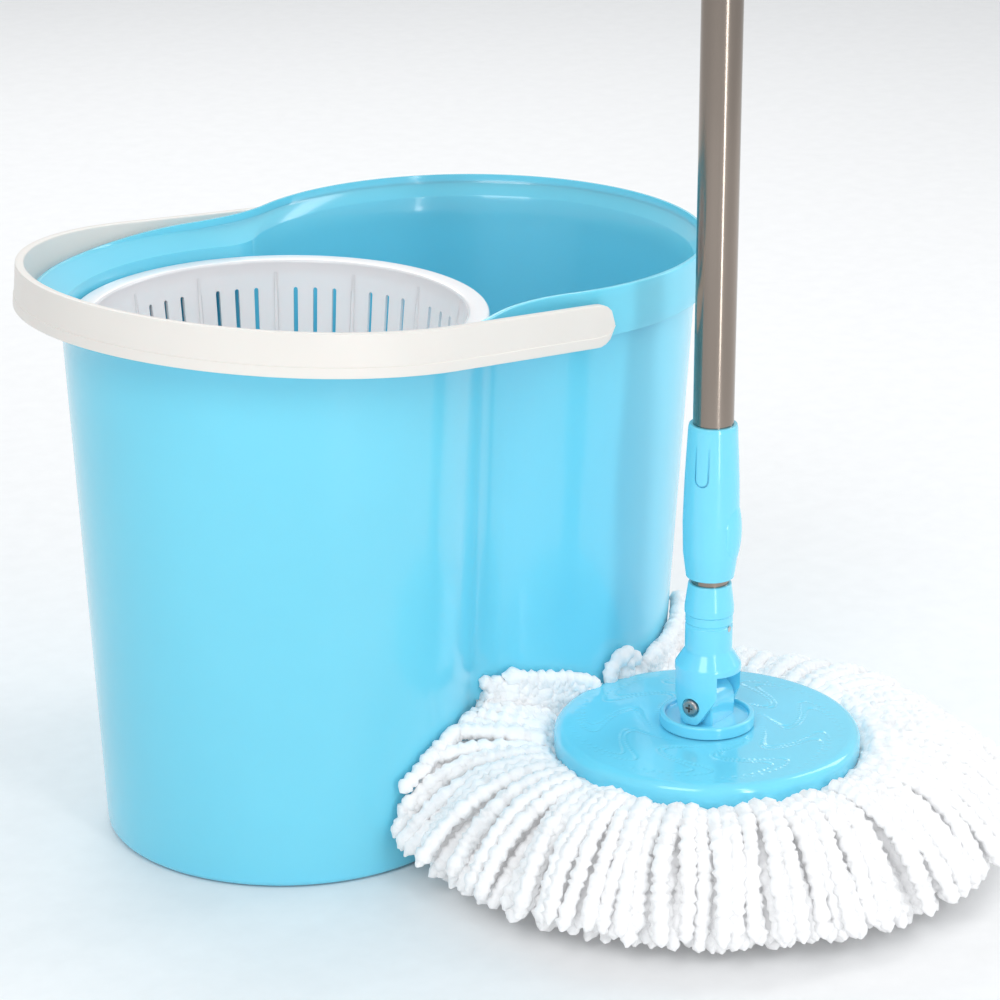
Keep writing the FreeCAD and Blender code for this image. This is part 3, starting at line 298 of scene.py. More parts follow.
def brushed_steel(name, colour, roughness, along=(700, 700, 6)):
    """Steel with fine brush lines along Z and slow colour drift."""
    material, tree, bsdf = shader(name)
    lines = noise(tree, object_coordinates(tree, along), 1.0, 5.0, 0.6)
    drift = noise(tree, object_coordinates(tree, (30, 30, 6)), 1.0, 3.0, 0.5)
    colours = ramp(tree, drift, [(0.3, shade(colour, 0.9)), (0.7, shade(colour, 1.1))])
    tree.links.new(colours, bsdf.inputs["Base Color"])
    tree.links.new(remap(tree, lines, roughness * 0.75, roughness * 1.3), bsdf.inputs["Roughness"])
    bump(tree, bsdf, lines, 0.12, 0.0002)
    bsdf.inputs["Metallic"].default_value = 1.0
    return material


def turned_steel(name, colour, roughness):
    """Machined steel: fine even grain and small stains."""
    material, tree, bsdf = shader(name)
    vector = object_coordinates(tree)
    grain = noise(tree, vector, 1400.0, 2.0, 0.6)
    stain = noise(tree, vector, 120.0, 4.0, 0.6)
    colours = ramp(tree, stain, [(0.3, shade(colour, 0.85)), (0.7, colour)])
    tree.links.new(colours, bsdf.inputs["Base Color"])
    tree.links.new(remap(tree, grain, roughness * 0.8, roughness * 1.3), bsdf.inputs["Roughness"])
    bump(tree, bsdf, grain, 0.15, 0.0001)
    bsdf.inputs["Metallic"].default_value = 1.0
    return material


def chenille(name, colour):
    """Soft looped yarn: tufts, loose fibres, a light sheen and a faint painted glow that lifts its shaded
    side.
    """
    material, tree, bsdf = shader(name)
    vector = object_coordinates(tree)
    tuft = noise(tree, vector, 330.0, 3.0, 0.6)
    fibre = noise(tree, vector, 2100.0, 4.0, 0.7)
    stops = [(0.28, shade(colour, 0.9)), (0.5, shade(colour, 0.98)), (0.72, shade(colour, 1.04))]
    colours = ramp(tree, tuft, stops)
    tree.links.new(colours, bsdf.inputs["Base Color"])
    tree.links.new(remap(tree, fibre, 0.85, 1.0), bsdf.inputs["Roughness"])
    mix = tree.nodes.new("ShaderNodeMath")
    mix.operation = "ADD"
    tree.links.new(tuft, mix.inputs[0])
    tree.links.new(fibre, mix.inputs[1])
    bump(tree, bsdf, mix.outputs["Value"], 0.55, 0.0008)
    bsdf.inputs["Sheen Weight"].default_value = 0.35
    bsdf.inputs["Sheen Roughness"].default_value = 0.6
    bsdf.inputs["Subsurface Weight"].default_value = 0.25
    bsdf.inputs["Subsurface Radius"].default_value = (1.0, 1.0, 1.0)
    bsdf.inputs["Subsurface Scale"].default_value = 0.003
    # Painted glow: the yarn emits a little of its own colour, brightening its shaded front as if more light
    # fell on it.
    bsdf.inputs["Emission Color"].default_value = (*colour, 1)
    bsdf.inputs["Emission Strength"].default_value = 0.1
    return material


def studio_floor(name):
    """Pale matt floor with a trace of grain."""
    material, tree, bsdf = shader(name)
    grain = noise(tree, object_coordinates(tree), 60.0, 5.0, 0.6)
    tree.links.new(ramp(tree, grain, [(0.3, (0.87, 0.875, 0.88)), (0.7, (0.90, 0.905, 0.91))]),
                   bsdf.inputs["Base Color"])
    bsdf.inputs["Roughness"].default_value = 0.6
    return material


MATERIALS = {}


def finish_of(name):
    """The named finish, made on first use from the user's colours."""
    if name not in MATERIALS:
        colours = bpy.context.scene.spin_mop_colours
        blue = tuple(colours.bucket)
        makers = {
            "bucket_blue": lambda: moulded_plastic(name, blue, 0.2, 0.4, glow=0.25),
            "mop_blue": lambda: moulded_plastic(name, shade(blue, 1.04), 0.17, 0.5, glow=0.15),
            "grip_blue": lambda: moulded_plastic(name, shade(blue, 0.95), 0.5, 0.0),
            "basket_white": lambda: moulded_plastic(name, tuple(colours.basket), 0.22, 0.4, glow=0.2),
            "bail_white": lambda: moulded_plastic(name, tuple(colours.bail), 0.42, 0.05, glow=0.1),
            "nylon": lambda: moulded_plastic(name, (0.72, 0.72, 0.68), 0.45, 0.0),
            "tube_steel": lambda: brushed_steel(name, tuple(colours.tube), 0.17),
            "rod_steel": lambda: brushed_steel(name, (0.55, 0.55, 0.55), 0.3, (300, 300, 60)),
            "screw_steel": lambda: turned_steel(name, (0.42, 0.42, 0.42), 0.32),
            "pin_steel": lambda: turned_steel(name, (0.58, 0.58, 0.58), 0.22),
            "yarn": lambda: chenille(name, tuple(colours.yarn)),
        }
        MATERIALS[name] = makers[name]()
    return MATERIALS[name]


NODE_FINISH = {
    "spindle_tower": "bucket_blue", "spindle_pin": "pin_steel", "spindle_washer": "pin_steel",
    "spindle_clip": "pin_steel", "tower_screws": "screw_steel", "basket_bush": "nylon",
    "basket_cap": "basket_white", "bail_clips": "nylon", "refill_ring": "basket_white",
    "swivel_base": "mop_blue", "base_washer": "pin_steel", "base_screw": "screw_steel",
    "pivot_bush": "pin_steel", "yoke": "mop_blue", "pivot_screw": "screw_steel", "pivot_nut": "screw_steel",
    "yoke_rivet": "pin_steel", "yoke_collar": "mop_blue", "inner_tube": "tube_steel", "drive_nut": "nylon",
    "nut_clip": "pin_steel", "guide_bush": "nylon", "lock_bush": "nylon", "lock_sleeve": "mop_blue",
    "outer_tube": "tube_steel", "upper_tube": "tube_steel", "tube_coupler": "nylon",
    "twisted_rod": "rod_steel", "rod_stop": "pin_steel", "grip": "grip_blue", "grip_cap": "grip_blue",
}


# ================================================================ mesh helpers
def new_piece(name, points, faces, finish, smooth=True):
    """Mesh object from points and faces."""
    mesh = bpy.data.meshes.new(name)
    mesh.from_pydata(points, [], faces)
    mesh.validate()
    mesh.update()
    piece = bpy.data.objects.new(name, mesh)
    bpy.context.scene.collection.objects.link(piece)
    mesh.materials.append(finish_of(finish))
    if smooth:
        mesh.polygons.foreach_set("use_smooth", [True] * len(mesh.polygons))
    return piece


def skin(rings, closed_profile=False, cap_start=False, cap_end=False, first=0):
    """Points and quads over closed rings of equal length, with optional fans that close the ends."""
    count = len(rings[0])
    points = [tuple(point) for ring in rings for point in ring]
    faces = []
    spans = len(rings) if closed_profile else len(rings) - 1
    for i in range(spans):
        here, there = i * count, ((i + 1) % len(rings)) * count
        for j in range(count):
            k = (j + 1) % count
            faces.append((first + here + j, first + here + k, first + there + k, first + there + j))
    for wanted, index in ((cap_start, 0), (cap_end, len(rings) - 1)):
        if not wanted:
            continue
        ring = rings[index]
        middle = tuple(sum(point[a] for point in ring) / count for a in range(3))
        points.append(middle)
        tip = first + len(points) - 1
        for j in range(count):
            a, b = first + index * count + j, first + index * count + (j + 1) % count
            faces.append((tip, b, a) if index == 0 else (tip, a, b))
    return points, faces


def round_corners(profile, steps=5):
    """Profile points (u, v, radius) with each corner drawn as an arc."""
    out = []
    count = len(profile)
    for i, corner in enumerate(profile):
        here = Vector(corner[:2])
        radius = corner[2] if len(corner) > 2 else 0.0
        if radius <= 0 or i in (0, count - 1):
            out.append(tuple(here))
            continue
        back = (Vector(profile[i - 1][:2]) - here).normalized()
        ahead = (Vector(profile[i + 1][:2]) - here).normalized()
        half = back.angle(ahead) / 2
        if half > math.pi / 2 - 1e-4:
            out.append(tuple(here))
            continue
        reach = radius / math.tan(half)
        centre = here + (back + ahead).normalized() * (radius / math.sin(half))
        start, end = here + back * reach - centre, here + ahead * reach - centre
        for k in range(steps + 1):
            share = k / steps
            out.append(tuple(centre + start.normalized().slerp(end.normalized(), share) * radius))
    return out


def turned_rings(profile, steps, centre=(0, 0)):
    """Rings about Z for (radius, height) points."""
    rings = []
    for radius, height in profile:
        ring = []
        for j in range(steps):
            angle = 2 * math.pi * j / steps
            x, y = centre[0] + radius * math.cos(angle), centre[1] + radius * math.sin(angle)
            ring.append((x, y, height))
        rings.append(ring)
    return rings


def joined(parts):
    """Points and faces of several skins as one."""
    points, faces = [], []
    for part_points, part_faces in parts:
        base = len(points)
        points += part_points
        faces += [tuple(base + index for index in face) for face in part_faces]
    return points, faces


def outward(piece):
    """Merge doubles and turn every closed shell's faces outwards."""
    work = bmesh.new()
    work.from_mesh(piece.data)
    bmesh.ops.remove_doubles(work, verts=work.verts, dist=1e-6)
    bmesh.ops.recalc_face_normals(work, faces=work.faces)
    work.to_mesh(piece.data)
    work.free()
    return piece


def smooth_by_angle(piece, degrees=32):
    """Smooth faces with sharp edges kept where the surface really turns."""
    mesh = piece.data
    mesh.polygons.foreach_set("use_smooth", [True] * len(mesh.polygons))
    mesh.set_sharp_from_angle(angle=math.radians(degrees))


# ================================================================ geometry node helpers
class Tree:
    """A Geometry Nodes tree with named inputs."""

    def __init__(self, name, inputs):
        self.group = bpy.data.node_groups.new(name, "GeometryNodeTree")
        face = self.group.interface
        face.new_socket("Geometry", in_out="INPUT", socket_type="NodeSocketGeometry")
        for label, kind in inputs:
            face.new_socket(label, in_out="INPUT", socket_type="NodeSocket" + kind)
        face.new_socket("Geometry", in_out="OUTPUT", socket_type="NodeSocketGeometry")
        self.start = self.group.nodes.new("NodeGroupInput")
        self.end = self.group.nodes.new("NodeGroupOutput")

    def node(self, kind, **settings):
        made = self.group.nodes.new(kind)
        for key, value in settings.items():
            setattr(made, key, value)
        return made

    def link(self, source, target):
        self.group.links.new(source, target)

    def maths(self, operation, a, b=None):
        made = self.node("ShaderNodeMath", operation=operation)
        for socket, value in zip(made.inputs, (a, b)):
            if value is None:
                continue
            if isinstance(value, (int, float)):
                socket.default_value = value
            else:
                self.link(value, socket)
        return made.outputs["Value"]

    def close(self, geometry):
        """Realize Instances and Set Material, then the output."""
        real = self.node("GeometryNodeRealizeInstances")
        paint = self.node("GeometryNodeSetMaterial")
        self.link(geometry, real.inputs["Geometry"])
        self.link(real.outputs["Geometry"], paint.inputs["Geometry"])
        self.link(self.start.outputs["Material"], paint.inputs["Material"])
        self.link(paint.outputs["Geometry"], self.end.inputs["Geometry"])


def grown(name, source, tree, values, finish):
    """Plain mesh that a tree makes from a source object, which is then removed."""
    modifier = source.modifiers.new(tree.group.name, "NODES")
    modifier.node_group = tree.group
    values = dict(values, Material=finish_of(finish))
    for item in tree.group.interface.items_tree:
        if item.in_out == "INPUT" and item.name in values:
            modifier[item.identifier] = values[item.name]
    bpy.context.view_layer.update()
    evaluated = source.evaluated_get(bpy.context.evaluated_depsgraph_get())
    mesh = bpy.data.meshes.new_from_object(evaluated)
    mesh.name = name
    source.modifiers.remove(modifier)
    bpy.data.objects.remove(source)
    piece = bpy.data.objects.new(name, mesh)
    bpy.context.scene.collection.objects.link(piece)
    return piece


def ring_tree():
    """Tree that repeats the source's own mesh evenly about Z."""
    tree = Tree("repeat_round", [("Count", "Int"), ("Material", "Material")])
    line = tree.node("GeometryNodeMeshLine")
    line.inputs["Offset"].default_value = (0, 0, 0)
    tree.link(tree.start.outputs["Count"], line.inputs["Count"])
    index = tree.node("GeometryNodeInputIndex")
    step = tree.maths("DIVIDE", 2 * math.pi, tree.start.outputs["Count"])
    turn = tree.maths("MULTIPLY", index.outputs["Index"], step)
    rotation = tree.node("ShaderNodeCombineXYZ")
    tree.link(turn, rotation.inputs["Z"])
    place = tree.node("GeometryNodeInstanceOnPoints")
    tree.link(line.outputs["Mesh"], place.inputs["Points"])
    tree.link(tree.start.outputs["Geometry"], place.inputs["Instance"])
    tree.link(rotation.outputs["Vector"], place.inputs["Rotation"])
    tree.close(place.outputs["Instances"])
    return tree


# ================================================================ bucket
def lobe_ring(radius_a, radius_b, fillet, height):
    """Two-lobe outline, anticlockwise from the basket lobe's tip; height is a number or a function of x."""
    along = (LOBE_DISTANCE ** 2 + (radius_a + fillet) ** 2 - (radius_b + fillet) ** 2) / (2 * LOBE_DISTANCE)
    across = math.sqrt((radius_a + fillet) ** 2 - along ** 2)
    meet_a = math.atan2(across, along)
    meet_b = math.atan2(across, along - LOBE_DISTANCE)
    half = []
    for i in range(ARC_STEPS // 2):
        angle = math.pi - (math.pi - meet_a) * i / (ARC_STEPS // 2)
        half.append((radius_a * math.cos(angle), radius_a * math.sin(angle)))
    for i in range(WAIST_STEPS):
        angle = meet_a + (meet_b - meet_a) * i / WAIST_STEPS
        half.append((along - fillet * math.cos(angle), across - fillet * math.sin(angle)))
    for i in range(ARC_STEPS // 2 + 1):
        angle = meet_b * (1 - i / (ARC_STEPS // 2))
        half.append((LOBE_DISTANCE + radius_b * math.cos(angle), radius_b * math.sin(angle)))
    flat = [(x, -y) for x, y in half] + half[-2:0:-1]
    return [(x, y, height(x) if callable(height) else height) for x, y in flat]


def wall_ring(height, offset):
    """Outline of the drafted wall at a height, grown by an offset."""
    share = height / WALL_TOP_Z
    radii = [foot + (top - foot) * share + offset for foot, top in zip(FOOT_R, WALL_TOP_R)]
    return lobe_ring(radii[0], radii[1], WAIST_FILLET - offset, height)


def rising(height_a, height_b):
    """Height that is level over each lobe and rises smoothly between them."""
    def at(x):
        share = min(1.0, max(0.0, (x - RISE_X[0]) / (RISE_X[1] - RISE_X[0])))
        return height_a + (height_b - height_a) * share * share * (3 - 2 * share)
    return at


def rim_ring(offset, drop):
    """Outline of the rim, grown by an offset, a drop under the rim's top line."""
    return lobe_ring(RIM_R[0] + offset, RIM_R[1] + offset, RIM_FILLET - offset,
                     rising(RIM_TOP[0] - drop, RIM_TOP[1] - drop))


def between(ring_a, ring_b, share):
    """Ring part of the way from one to another."""
    return [tuple(a + (b - a) * share for a, b in zip(p, q)) for p, q in zip(ring_a, ring_b)]


def bucket_rings():
    """Outlines from the middle of the underside, over the rim, to the middle of the floor."""
    foot_round, floor_round, edge = 4 * MM, 7 * MM, 0.9 * MM
    dish_foot = RIM_TOP[0] - RIM_DISH
    rings = [between(wall_ring(0, -12 * MM), wall_ring(0, -60 * MM), share) for share in (1, 0)]
    for i in range(7):
        angle = math.pi / 2 * i / 6
        rings.append(wall_ring(foot_round * (1 - math.cos(angle)), -foot_round * (1 - math.sin(angle))))
    for i in range(1, 26):
        rings.append(wall_ring(foot_round + (dish_foot - RIM_SKIN - 1.6 * MM - foot_round) * i / 25, 0))
    under = wall_ring(dish_foot - RIM_SKIN, 0)
    channel_top = rim_ring(-SKIRT_T, RIM_SKIN + 1.2 * MM)
    for share in (0.06, 0.3, 0.6, 0.9, 1):
        rings.append(between(under, channel_top, share))
    low_line = rising(RIM_TOP[0] - SKIRT_H[0], RIM_TOP[1] - SKIRT_H[1])
    skirt_low = lobe_ring(RIM_R[0] - SKIRT_T, RIM_R[1] - SKIRT_T, RIM_FILLET + SKIRT_T, low_line)
    for share in (0.15, 0.6, 0.93, 1):
        rings.append(between(channel_top, skirt_low, share))
    outer_low = lobe_ring(RIM_R[0], RIM_R[1], RIM_FILLET, low_line)
    outer_top = rim_ring(0, 0)
    for inset, lift in ((0.7, 0.0), (0.25, 0.1), (0.0, 0.7)):
        ring = lobe_ring(RIM_R[0] - inset * MM, RIM_R[1] - inset * MM, RIM_FILLET + inset * MM, low_line)
        rings.append([(x, y, z + lift * MM) for x, y, z in ring])
    for share in (0.3, 0.6, 0.85):
        rings.append(between(outer_low, outer_top, share))
    for i in range(6):
        angle = math.pi / 2 * i / 5
        rings.append(rim_ring(-edge * (1 - math.cos(angle)), edge * (1 - math.sin(angle))))
    lip = rim_ring(-RIM_LIP_W, 0)
    dish_top = lobe_ring(RIM_R[0] - RIM_LIP_W - 0.5 * MM, RIM_R[1] - RIM_LIP_W - 0.5 * MM,
                         RIM_FILLET + RIM_LIP_W + 0.5 * MM, RIM_TOP[0] - 0.3 * MM)
    rings += [between(outer_top, lip, 0.8), lip, dish_top]
    inner_top = wall_ring(dish_foot, -WALL_T)
    for share in (0.12, 0.3, 0.5, 0.7, 0.85, 0.95):
        rings.append(between(dish_top, inner_top, share))
    for i in range(1, 26):
        height = dish_foot - 1.2 * MM - (dish_foot - FLOOR_T - floor_round) * i / 25
        rings.append(wall_ring(max(height, FLOOR_T + floor_round), -WALL_T))
    for i in range(1, 8):
        angle = math.pi / 2 * i / 7
        height = FLOOR_T + floor_round * (1 - math.sin(angle))
        rings.append(wall_ring(height, -WALL_T - floor_round * (1 - math.cos(angle))))
    floor_rings = (wall_ring(FLOOR_T, -20 * MM), wall_ring(FLOOR_T, -60 * MM))
    rings += [between(*floor_rings, share) for share in (0, 1)]
    return rings


def make_bucket():
    """The bucket's one moulding, with the bosses the spindle's tower is screwed to."""
    parts = [skin(bucket_rings(), cap_start=True, cap_end=True)]
    for i in range(BOSS_COUNT):
        angle = math.radians(BOSS_FIRST_TURN + 360 // BOSS_COUNT * i)
        centre = (BOSS_CIRCLE_R * math.cos(angle), BOSS_CIRCLE_R * math.sin(angle))
        wall = [(1.6, 4.9), (1.6, 16), (4.6, 16), (5, 15.6), (5, 3.6), (1.6, 3.6)]
        rings = turned_rings([(r * MM, z * MM) for r, z in wall], 24, centre)
        parts.append(skin(rings, closed_profile=True))
    points, faces = joined(parts)
    piece = outward(new_piece("bucket_moulding", points, faces, "bucket_blue"))
    smooth_by_angle(piece, 40)
    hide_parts("bucket_body")
    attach(piece, "bucket")


# ================================================================ basket
def basket_wall_r(height):
    """Outside radius of the basket's tapered wall."""
    top = BASKET_RIM_R - BASKET_RIM_W + 1 * MM
    drop, tall = height - BASKET_FLOOR_Z, BASKET_RIM_Z - BASKET_FLOOR_Z
    return BASKET_FOOT_R + (top - BASKET_FOOT_R) * drop / tall


def slot_levels(low, high, bands, half):
    """(level, half width, open above) stations with rounded slot ends."""
    stations = [(low, half, False)]
    for start, end in bands:
        stations += [(start, 0.3 * half, True), (start + 0.35 * half, 0.8 * half, True),
                     (start + half, half, True), (end - half, half, True),
                     (end - 0.35 * half, 0.8 * half, True), (end, 0.3 * half, False)]
    stations.append((high, half, False))
    return stations


def slotted_pitch(name, stations, pitch, place, radius_at):
    """One pitch of a thin slotted sheet: place(level, angle, side) gives a point on side 0 or 1."""
    points, faces = [], []
    for level, half, _ in stations:
        slot = math.asin(half / radius_at(level))
        for angle in (-pitch / 2, -slot, slot, pitch / 2):
            points += [place(level, angle, 0), place(level, angle, 1)]

    def at(row, column, side):
        return (row * 4 + column) * 2 + side

    for row in range(len(stations) - 1):
        opened = stations[row][2]
        for column in range(3):
            if opened and column == 1:
                continue
            for side, order in ((0, (0, 1, 2, 3)), (1, (3, 2, 1, 0))):
                ring = [at(row, column, side), at(row, column + 1, side),
                        at(row + 1, column + 1, side), at(row + 1, column, side)]
                faces.append(tuple(ring[k] for k in order))
        if opened:
            faces.append((at(row, 1, 0), at(row, 1, 1), at(row + 1, 1, 1), at(row + 1, 1, 0)))
            faces.append((at(row, 2, 1), at(row, 2, 0), at(row + 1, 2, 0), at(row + 1, 2, 1)))
            if not stations[row - 1][2]:
                faces.append((at(row, 1, 0), at(row, 2, 0), at(row, 2, 1), at(row, 1, 1)))
            if not stations[row + 1][2]:
                faces.append((at(row + 1, 2, 0), at(row + 1, 1, 0), at(row + 1, 1, 1), at(row + 1, 2, 1)))
    for row in (0, len(stations) - 1):
        for column in range(3):
            faces.append((at(row, column, 0), at(row, column + 1, 0),
                          at(row, column + 1, 1), at(row, column, 1)))
    return new_piece(name, points, faces, "basket_white", smooth=False)


def make_basket():
    """Spin basket: slotted wall, ribs, slotted floor, rim and hub, as one moulding."""
    floor_top = BASKET_FLOOR_Z + BASKET_FLOOR_T
    slots = PANELS * SLOTS_PER_PANEL
    tree = ring_tree()

    def on_wall(level, angle, side):
        radius = basket_wall_r(level) - BASKET_WALL_T * side
        return (radius * math.cos(angle), radius * math.sin(angle), level)

    bands = [(BASKET_FLOOR_Z + a, BASKET_FLOOR_Z + b) for a, b in SLOT_BANDS]
    stations = slot_levels(BASKET_FLOOR_Z + 1 * MM, BASKET_RIM_Z - 1.2 * MM, bands, SLOT_HALF)
    wall = slotted_pitch("basket_pitch", stations, 2 * math.pi / slots, on_wall, basket_wall_r)
    pieces = [grown("basket_wall", wall, tree, {"Count": slots}, "basket_white")]

    def on_floor(level, angle, side):
        return (level * math.cos(angle), level * math.sin(angle), BASKET_FLOOR_Z + BASKET_FLOOR_T * side)

    stations = slot_levels(BASKET_HUB_R - 1 * MM, BASKET_FOOT_R - 1.0 * MM, DRAIN_BANDS, DRAIN_HALF)
    floor = slotted_pitch("drain_pitch", stations, math.pi / PANELS, on_floor, lambda level: level)
    pieces.append(grown("basket_floor", floor, tree, {"Count": 2 * PANELS}, "basket_white"))

    low_r = basket_wall_r(floor_top) - BASKET_WALL_T
    high_z = BASKET_RIM_Z - 6 * MM
    high_r = basket_wall_r(high_z) - BASKET_WALL_T
    rib = []
    for share in (0, 0.25, 0.5, 0.75, 1):
        z = floor_top - 0.6 * MM + (high_z - floor_top) * share
        outer = low_r + (high_r - low_r) * share + 0.8 * MM
        inner = outer - (2.6 - 1.6 * share) * MM
        rib.append([(outer, 1.5 * MM, z), (inner + 0.5 * MM, 1.2 * MM, z), (inner, 0.6 * MM, z),
                    (inner, -0.6 * MM, z), (inner + 0.5 * MM, -1.2 * MM, z), (outer, -1.5 * MM, z)])
    points, faces = skin(rib, cap_start=True, cap_end=True)
    source = new_piece("basket_rib", points, faces, "basket_white")
    pieces.append(grown("basket_ribs", source, tree, {"Count": PANELS}, "basket_white"))

    rim_in = basket_wall_r(BASKET_RIM_Z) - BASKET_WALL_T
    low = BASKET_RIM_Z - 3 * MM
    rim = round_corners([
        (rim_in, low - 4 * MM), (rim_in, BASKET_RIM_Z, 1.8 * MM), (BASKET_RIM_R, BASKET_RIM_Z, 1.5 * MM),
        (BASKET_RIM_R, low - 3 * MM, 0.6 * MM), (BASKET_RIM_R - 1.6 * MM, low - 3 * MM, 0.6 * MM),
        (BASKET_RIM_R - 1.6 * MM, low, 0.8 * MM), (rim_in + BASKET_WALL_T + 0.05 * MM, low, 1.0 * MM),
        (rim_in + BASKET_WALL_T - 0.2 * MM, low - 4 * MM)])
    curb = round_corners([
        (low_r - 2.5 * MM, floor_top - 0.6 * MM), (low_r - 2.5 * MM, floor_top + 0.05 * MM, 0.2 * MM),
        (low_r + 0.6 * MM, floor_top + 3.5 * MM, 2.5 * MM), (low_r + 1.2 * MM, floor_top + 6 * MM),
        (BASKET_FOOT_R + 0.35 * MM, floor_top + 2 * MM),
        (BASKET_FOOT_R - 0.4 * MM, BASKET_FLOOR_Z + 0.6 * MM, 1.2 * MM),
        (BASKET_FOOT_R - 4 * MM, BASKET_FLOOR_Z - 0.05 * MM)])
    hub = round_corners([
        (BUSH_HIGH.x, BUSH_LOW.z), (BUSH_HIGH.x, BUSH_HIGH.z), (BASKET_HUB_R, BUSH_HIGH.z, 0.8 * MM),
        (BASKET_HUB_R, floor_top, 1.6 * MM), (BASKET_HUB_R + 3 * MM, floor_top + 0.05 * MM),
        (BASKET_HUB_R + 3 * MM, BASKET_FLOOR_Z - 0.05 * MM), (BASKET_HUB_R, BASKET_FLOOR_Z, 1.5 * MM),
        (BASKET_HUB_R, BUSH_LOW.z)])
    lathes = [skin(turned_rings(profile, 3 * slots), closed_profile=True) for profile in (rim, curb, hub)]
    points, faces = joined(lathes)
    pieces.append(new_piece("basket_lathes", points, faces, "basket_white"))

    parts = []
    for piece in pieces:
        mesh = piece.data
        parts.append(([tuple(v.co) for v in mesh.vertices], [tuple(p.vertices) for p in mesh.polygons]))
        bpy.data.objects.remove(piece)
    points, faces = joined(parts)
    basket = outward(new_piece("spin_basket", points, faces, "basket_white"))
    smooth_by_angle(basket, 35)
    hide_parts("basket")
    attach(basket, "basket")


# ================================================================ bail
def bail_path(grow):
    """Plan of the bail from one arm's end round the crown to the other: points and outward directions."""
    radius = BAIL_INNER_R + grow
    slope = (BAIL_INNER_R - BAIL_ARM_Y) / PIVOT[0]
    lean = math.atan(slope)
    end_x = PIVOT[0] + BAIL_H / 2
    touch = (radius * math.sin(lean), radius * math.cos(lean))
    end_y = BAIL_ARM_Y + grow - slope * (end_x - PIVOT[0])
    half = []
    for i in range(36):
        share = 1 - i / 36
        half.append((touch[0] + (end_x - touch[0]) * share, touch[1] + (end_y - touch[1]) * share))
    for i in range(73):
        angle = math.pi / 2 - lean + (math.pi / 2 + lean) * i / 72
        half.append((radius * math.cos(angle), radius * math.sin(angle)))
    return [(x, -y) for x, y in half] + half[-2::-1]


def make_bail():
    """Flat-band bail with half-round ends, a fine ledge along its face, a rest lip, bosses and pins."""
    inner, outer = bail_path(0), bail_path(BAIL_T)
    end_x = PIVOT[0] + BAIL_H / 2
    section = round_corners([
        (0, 0), (0, -1, 0.08), (1, -1, 0.08), (1, -0.52), (0.92, -0.49), (0.92, 0.9), (0.92, 1, 0.08),
        (0, 1, 0.08), (0, 0)], steps=3)[:-1]
    rings = []
    for (xa, ya), (xb, yb) in zip(inner, outer):
        from_end = min(BAIL_H / 2, end_x - xa)
        along = BAIL_H / 2 - from_end
        half = math.sqrt(max(0.0, (BAIL_H / 2) ** 2 - along ** 2))
        half = max(half, 0.6 * MM)
        rings.append([(xa + (xb - xa) * u, ya + (yb - ya) * u, PIVOT[2] + half * v) for u, v in section])
    band = skin(rings, cap_start=True, cap_end=True)
    lip_x = 0.92 * BAIL_INNER_R
    rise = RIM_TOP[0] + BAIL_GAP - PIVOT[2] - (PIVOT[0] + lip_x) * math.sin(BAIL_REST)
    lip_z = PIVOT[2] + rise / math.cos(BAIL_REST)
    sweep = math.acos(lip_x / BAIL_INNER_R)
    lips = []
    for i in range(41):
        angle = math.pi - sweep + 2 * sweep * i / 40
        ring = []
        for radius, z in ((BAIL_INNER_R + 1 * MM, lip_z), (BAIL_INNER_R - BAIL_LIP_IN + 0.4 * MM, lip_z),
                          (BAIL_INNER_R - BAIL_LIP_IN, lip_z + 0.4 * MM),
                          (BAIL_INNER_R - BAIL_LIP_IN, lip_z + BAIL_LIP_T - 0.4 * MM),
                          (BAIL_INNER_R - BAIL_LIP_IN + 0.4 * MM, lip_z + BAIL_LIP_T),
                          (BAIL_INNER_R + 1 * MM, lip_z + BAIL_LIP_T)):
            ring.append((radius * math.cos(angle), radius * math.sin(angle), z))
        lips.append(ring)
    points, faces = joined([band, skin(lips, cap_start=True, cap_end=True)])
    pivot = Vector(PIVOT)
    turn = Matrix.Translation(pivot) @ Matrix.Rotation(BAIL_REST, 4, "Y") @ Matrix.Translation(-pivot)
    points = [tuple(turn @ Vector(point)) for point in points]
    skirt_y = math.sqrt(RIM_R[1] ** 2 - (PIVOT[0] + BAIL_BOSS_R - LOBE_DISTANCE) ** 2)
    pin_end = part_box("bail_clips")[1].y - 1.3 * MM
    profile = round_corners([
        (0, pin_end), (BAIL_PIN_R, pin_end, 0.3 * MM), (BAIL_PIN_R, skirt_y + BAIL_GAP),
        (BAIL_BOSS_R, skirt_y + BAIL_GAP, 0.5 * MM), (BAIL_BOSS_R, BAIL_ARM_Y + 1 * MM),
        (0, BAIL_ARM_Y + 1 * MM)])
    bosses = []
    for side in (-1, 1):
        rings = []
        for radius, height in profile:
            radius = max(radius, 0.05 * MM)
            rings.append([(PIVOT[0] + radius * math.cos(2 * math.pi * j / 40), side * height,
                           PIVOT[2] + radius * math.sin(2 * math.pi * j / 40)) for j in range(40)])
        bosses.append(skin(rings, cap_start=True, cap_end=True))
    points, faces = joined([(points, faces)] + bosses)
    bail = outward(new_piece("bail", points, faces, "bail_white"))
    smooth_by_angle(bail, 35)
    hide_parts("bail_handle")
    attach(bail, "bail")


# ================================================================ mop head
def swirl_cut(radius, angle):
    """Share of the swirl's depth at a place on the disc: fine S-shaped lines."""
    share = (radius - SWIRL_IN) / (SWIRL_OUT - SWIRL_IN)
    if not 0 < share < 1:
        return 0.0
    fade = min(1.0, 6 * share, 6 * (1 - share))
    sway = 0.55 * math.sin(2 * math.pi * share)
    deepest = 0.0
    for count, drift in ((9, 1.1), (9, 1.34)):
        phase = (angle * count / (2 * math.pi) + (sway + drift * share) * count / (2 * math.pi)) % 1.0
        offset = min(phase, 1 - phase) * 2 * math.pi * radius / count
        deepest = max(deepest, math.exp(-(offset / SWIRL_LINE_HALF) ** 2))
    return deepest * fade


